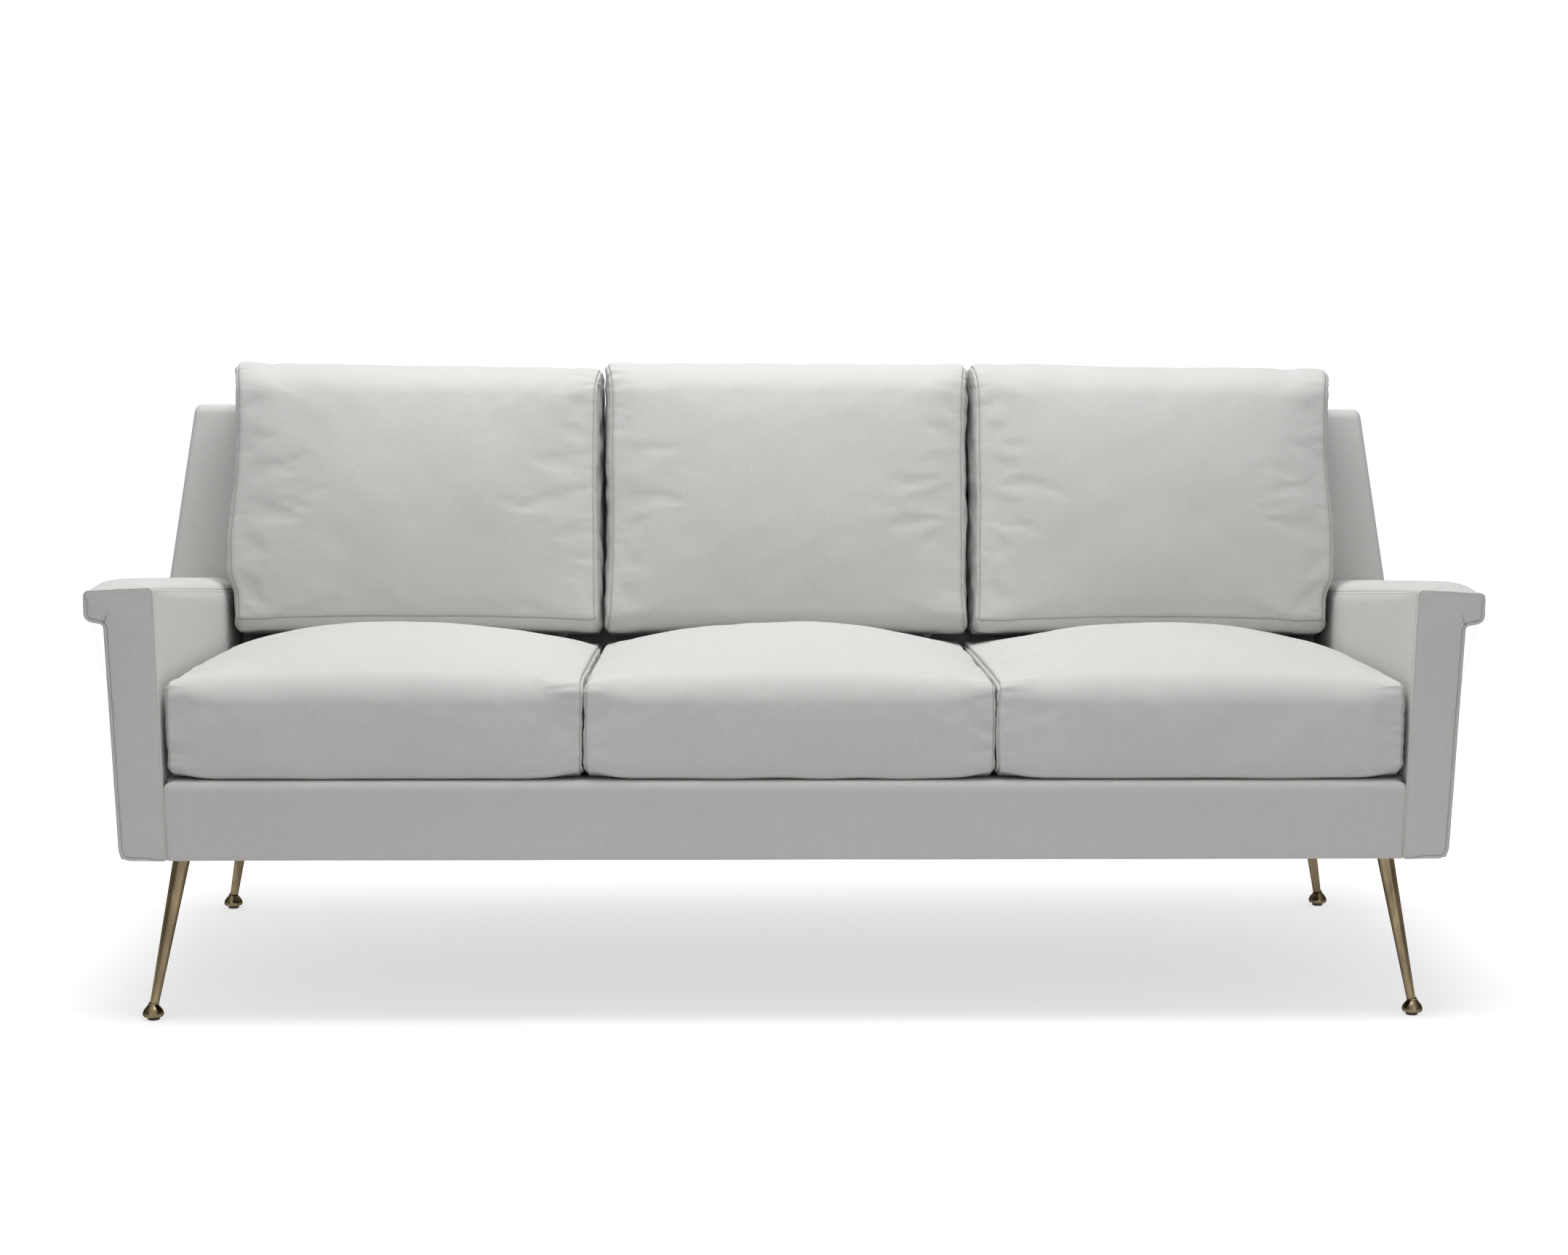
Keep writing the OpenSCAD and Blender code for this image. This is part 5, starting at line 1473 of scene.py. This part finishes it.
def dust_cover():
    """The lining stapled under the frame, with a window at each leg's plate."""
    half = FRAME_HALF - 0.2
    low, high = FRONT + RAIL_SET + DECK_PAD + 0.2, panel_y(LEG_H) - 0.2
    window = PLATE_W / 2
    at_x = [x + e * window for x in (-LEG_X, LEG_X) for e in (-1, 1)]
    at_y = [y + e * window for y in (LEG_FRONT_Y, LEG_REAR_Y) for e in (-1, 1)]
    xs = with_more(lines(2 * half, DUST_STEP) - half, at_x)
    ys = with_more(lines(high - low, DUST_STEP) + low, at_y)
    grid = np.stack(np.meshgrid(xs, ys, indexing="ij"), -1).reshape(-1, 2)
    edge = np.minimum(half - np.abs(grid[:, 0]), np.minimum(grid[:, 1] - low, high - grid[:, 1]))
    sag = 0.35 * ripple(np.concatenate([grid, 0 * grid[:, :1]], 1), 160, 51) * ease(edge / 60)
    points = np.concatenate([grid, (DUST_Z + sag)[:, None]], 1)
    number = np.arange(len(grid)).reshape(len(xs), len(ys))
    quads = np.stack([number[:-1, :-1], number[:-1, 1:], number[1:, 1:], number[1:, :-1]], -1).reshape(-1, 4)
    middle = grid[quads].mean(1)
    cut = np.zeros(len(quads), bool)
    for sx in (-1, 1):
        for y in (LEG_FRONT_Y, LEG_REAR_Y):
            cut |= (np.abs(middle[:, 0] - sx * LEG_X) < window) & (np.abs(middle[:, 1] - y) < window)
    quads = quads[~cut]
    used = np.unique(quads)
    number = -np.ones(len(grid), int)
    number[used] = np.arange(len(used))
    made = piece("lining_under_frame", points[used], [number[quads]], lining, slot="lining")
    thick = made.modifiers.new("thickness", "SOLIDIFY")
    thick.thickness, thick.offset = 0.4 * MM, 0
    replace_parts(made, "dust_cover")
    side, near, far = half - STAPLE_IN, low + STAPLE_IN, high - STAPLE_IN
    border = [(-side, near), (side, near), (side, far), (-side, far), (-side, near)]
    path = np.array([(*p, LEG_H + 0.1) for p in border], float)
    follow("staples", [path], stitch_rows, STAPLE, steel, "frame")


dust_cover()

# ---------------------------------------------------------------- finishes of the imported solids

FINISHES = {
    nylon: ["floor_glides"],
    steel: ["leg_studs", "leg_plates", "plate_screws"],
    timber: [
        "front_rail", "seat_back_rail", "rear_rail", "side_rail_left", "side_rail_right", "seat_stretchers",
        "corner_blocks", "arm_posts_left", "arm_posts_right", "arm_board_left", "arm_board_right",
        "back_post_left", "back_post_right", "back_posts_inner", "back_top_rail",
    ],
    webbing: ["seat_webbing", "back_webbing"],
}
for finish, names in FINISHES.items():
    for name in names:
        nodes[name].data.materials.clear()
        nodes[name].data.materials.append(finish)

# ---------------------------------------------------------------- floor, light and camera


def floor_finish(tree):
    """White paper floor: it keeps the sofa's shadow, and the camera sees it brighter by a share that grows
    with the distance from the middle, from 0.615 to 0.8. That growth is painted light: it whitens the far
    floor, which the lamps light less, and leaves the floor round the sofa dimmer, so that the sofa's shadow
    there stays deep.
    """
    base = add(tree, "ShaderNodeBsdfDiffuse", {}, {"Color": linear("#e8e8e8")}).outputs[0]
    path = add(tree, "ShaderNodeLightPath").outputs
    seen = add(tree, MATH, {"operation": "MAXIMUM"}, {0: path["Is Camera Ray"], 1: path["Is Glossy Ray"]})
    where = add(tree, COORDINATES).outputs["Object"]
    away = add(tree, "ShaderNodeVectorMath", {"operation": "LENGTH"}, {0: where}).outputs["Value"]
    # Painted light: the glow is weaker near the sofa and stronger far off
    even = add(
        tree, MAP_RANGE, {"interpolation_type": "SMOOTHSTEP"},
        {"Value": away, "From Min": 1.1, "From Max": 4.0, "To Min": 0.615, "To Max": 0.8},
    ).outputs[0]
    glow = add(tree, MATH, PRODUCT, {0: seen.outputs[0], 1: even}).outputs[0]
    shine = add(tree, "ShaderNodeEmission", {}, {"Color": (1, 1, 1, 1), "Strength": glow}).outputs[0]
    return add(tree, "ShaderNodeAddShader", {}, {0: base, 1: shine}).outputs[0]


bpy.ops.mesh.primitive_plane_add(size=60, location=(0, 0, 0))
floor = bpy.context.object
floor.name = "floor"
floor.data.materials.append(material("paper_floor", floor_finish))

world = bpy.data.worlds.new("studio")
bpy.context.scene.world = world
world.use_nodes = True
tree = world.node_tree
tree.nodes.clear()
path = add(tree, "ShaderNodeLightPath").outputs
seen = add(tree, MATH, {"operation": "MAXIMUM"}, {0: path["Is Camera Ray"], 1: path["Is Transmission Ray"]})
around = add(tree, "ShaderNodeBackground", {}, {"Color": (1, 1, 1, 1), "Strength": 0.31}).outputs[0]
behind = add(tree, "ShaderNodeBackground", {}, {"Color": (1, 1, 1, 1), "Strength": 1.0}).outputs[0]
# What gloss reflects: the white backdrop ahead and behind, and the darker room at the sides
generated = add(tree, COORDINATES).outputs["Generated"]
way = add(tree, "ShaderNodeSeparateXYZ", {}, {0: generated}).outputs["X"]
sideways = add(tree, MATH, {"operation": "ABSOLUTE"}, {0: way}).outputs[0]
room = add(
    tree, MAP_RANGE, {"interpolation_type": "SMOOTHSTEP"},
    {"Value": sideways, "From Min": 0.2, "From Max": 0.85, "To Min": 1.0, "To Max": 0.2},
).outputs[0]
mirrored = add(tree, "ShaderNodeBackground", {}, {"Color": (1, 1, 1, 1), "Strength": room}).outputs[0]
blend = add(tree, "ShaderNodeMixShader", {}, {0: path["Is Glossy Ray"], 1: around, 2: mirrored}).outputs[0]
blend = add(tree, "ShaderNodeMixShader", {}, {0: seen.outputs[0], 1: blend, 2: behind}).outputs[0]
add(tree, "ShaderNodeOutputWorld", {}, {"Surface": blend})


def softbox(name, place, aim, width, depth, power):
    """A soft rectangular lamp: its place, what it points at and its size in metres, and its watts."""
    light = bpy.data.lights.new(name, "AREA")
    light.shape = "RECTANGLE"
    light.size, light.size_y, light.energy = width, depth, power
    lamp = bpy.data.objects.new(name, light)
    bpy.context.scene.collection.objects.link(lamp)
    lamp.location = place
    lamp.rotation_euler = (Vector(aim) - Vector(place)).to_track_quat("-Z", "Y").to_euler()


softbox("overhead", (-0.1, -0.4, 3.3), (0, 0, 0.4), 2.3, 2.0, 87)
# Two tall strips at the front, which put a streak of light along each leg
softbox("strip_left", (-1.6, -3.6, 1.0), (0, 0, 0.4), 0.26, 1.8, 1.8)
softbox("strip_right", (2.0, -3.4, 1.0), (0, 0, 0.4), 0.26, 1.8, 6.4)

# The camera as the photograph's perspective gives it: lens in mm, shifts as shares of the frame's width
camera_data = bpy.data.cameras.new("camera")
camera = bpy.data.objects.new("camera", camera_data)
bpy.context.scene.collection.objects.link(camera)
camera_data.lens = 66.91
camera_data.shift_x, camera_data.shift_y = -0.0399, 0.0041
turn = (
    Matrix.Rotation(math.radians(-2.4), 4, "Z")
    @ Matrix.Rotation(math.radians(90 - 8.04), 4, "X")
    @ Matrix.Rotation(math.radians(0.41), 4, "Z")
)
camera.matrix_world = Matrix.Translation((-0.09, -4.3695, 1.121)) @ turn
bpy.context.scene.camera = camera
bpy.context.scene.view_settings.view_transform = "Standard"
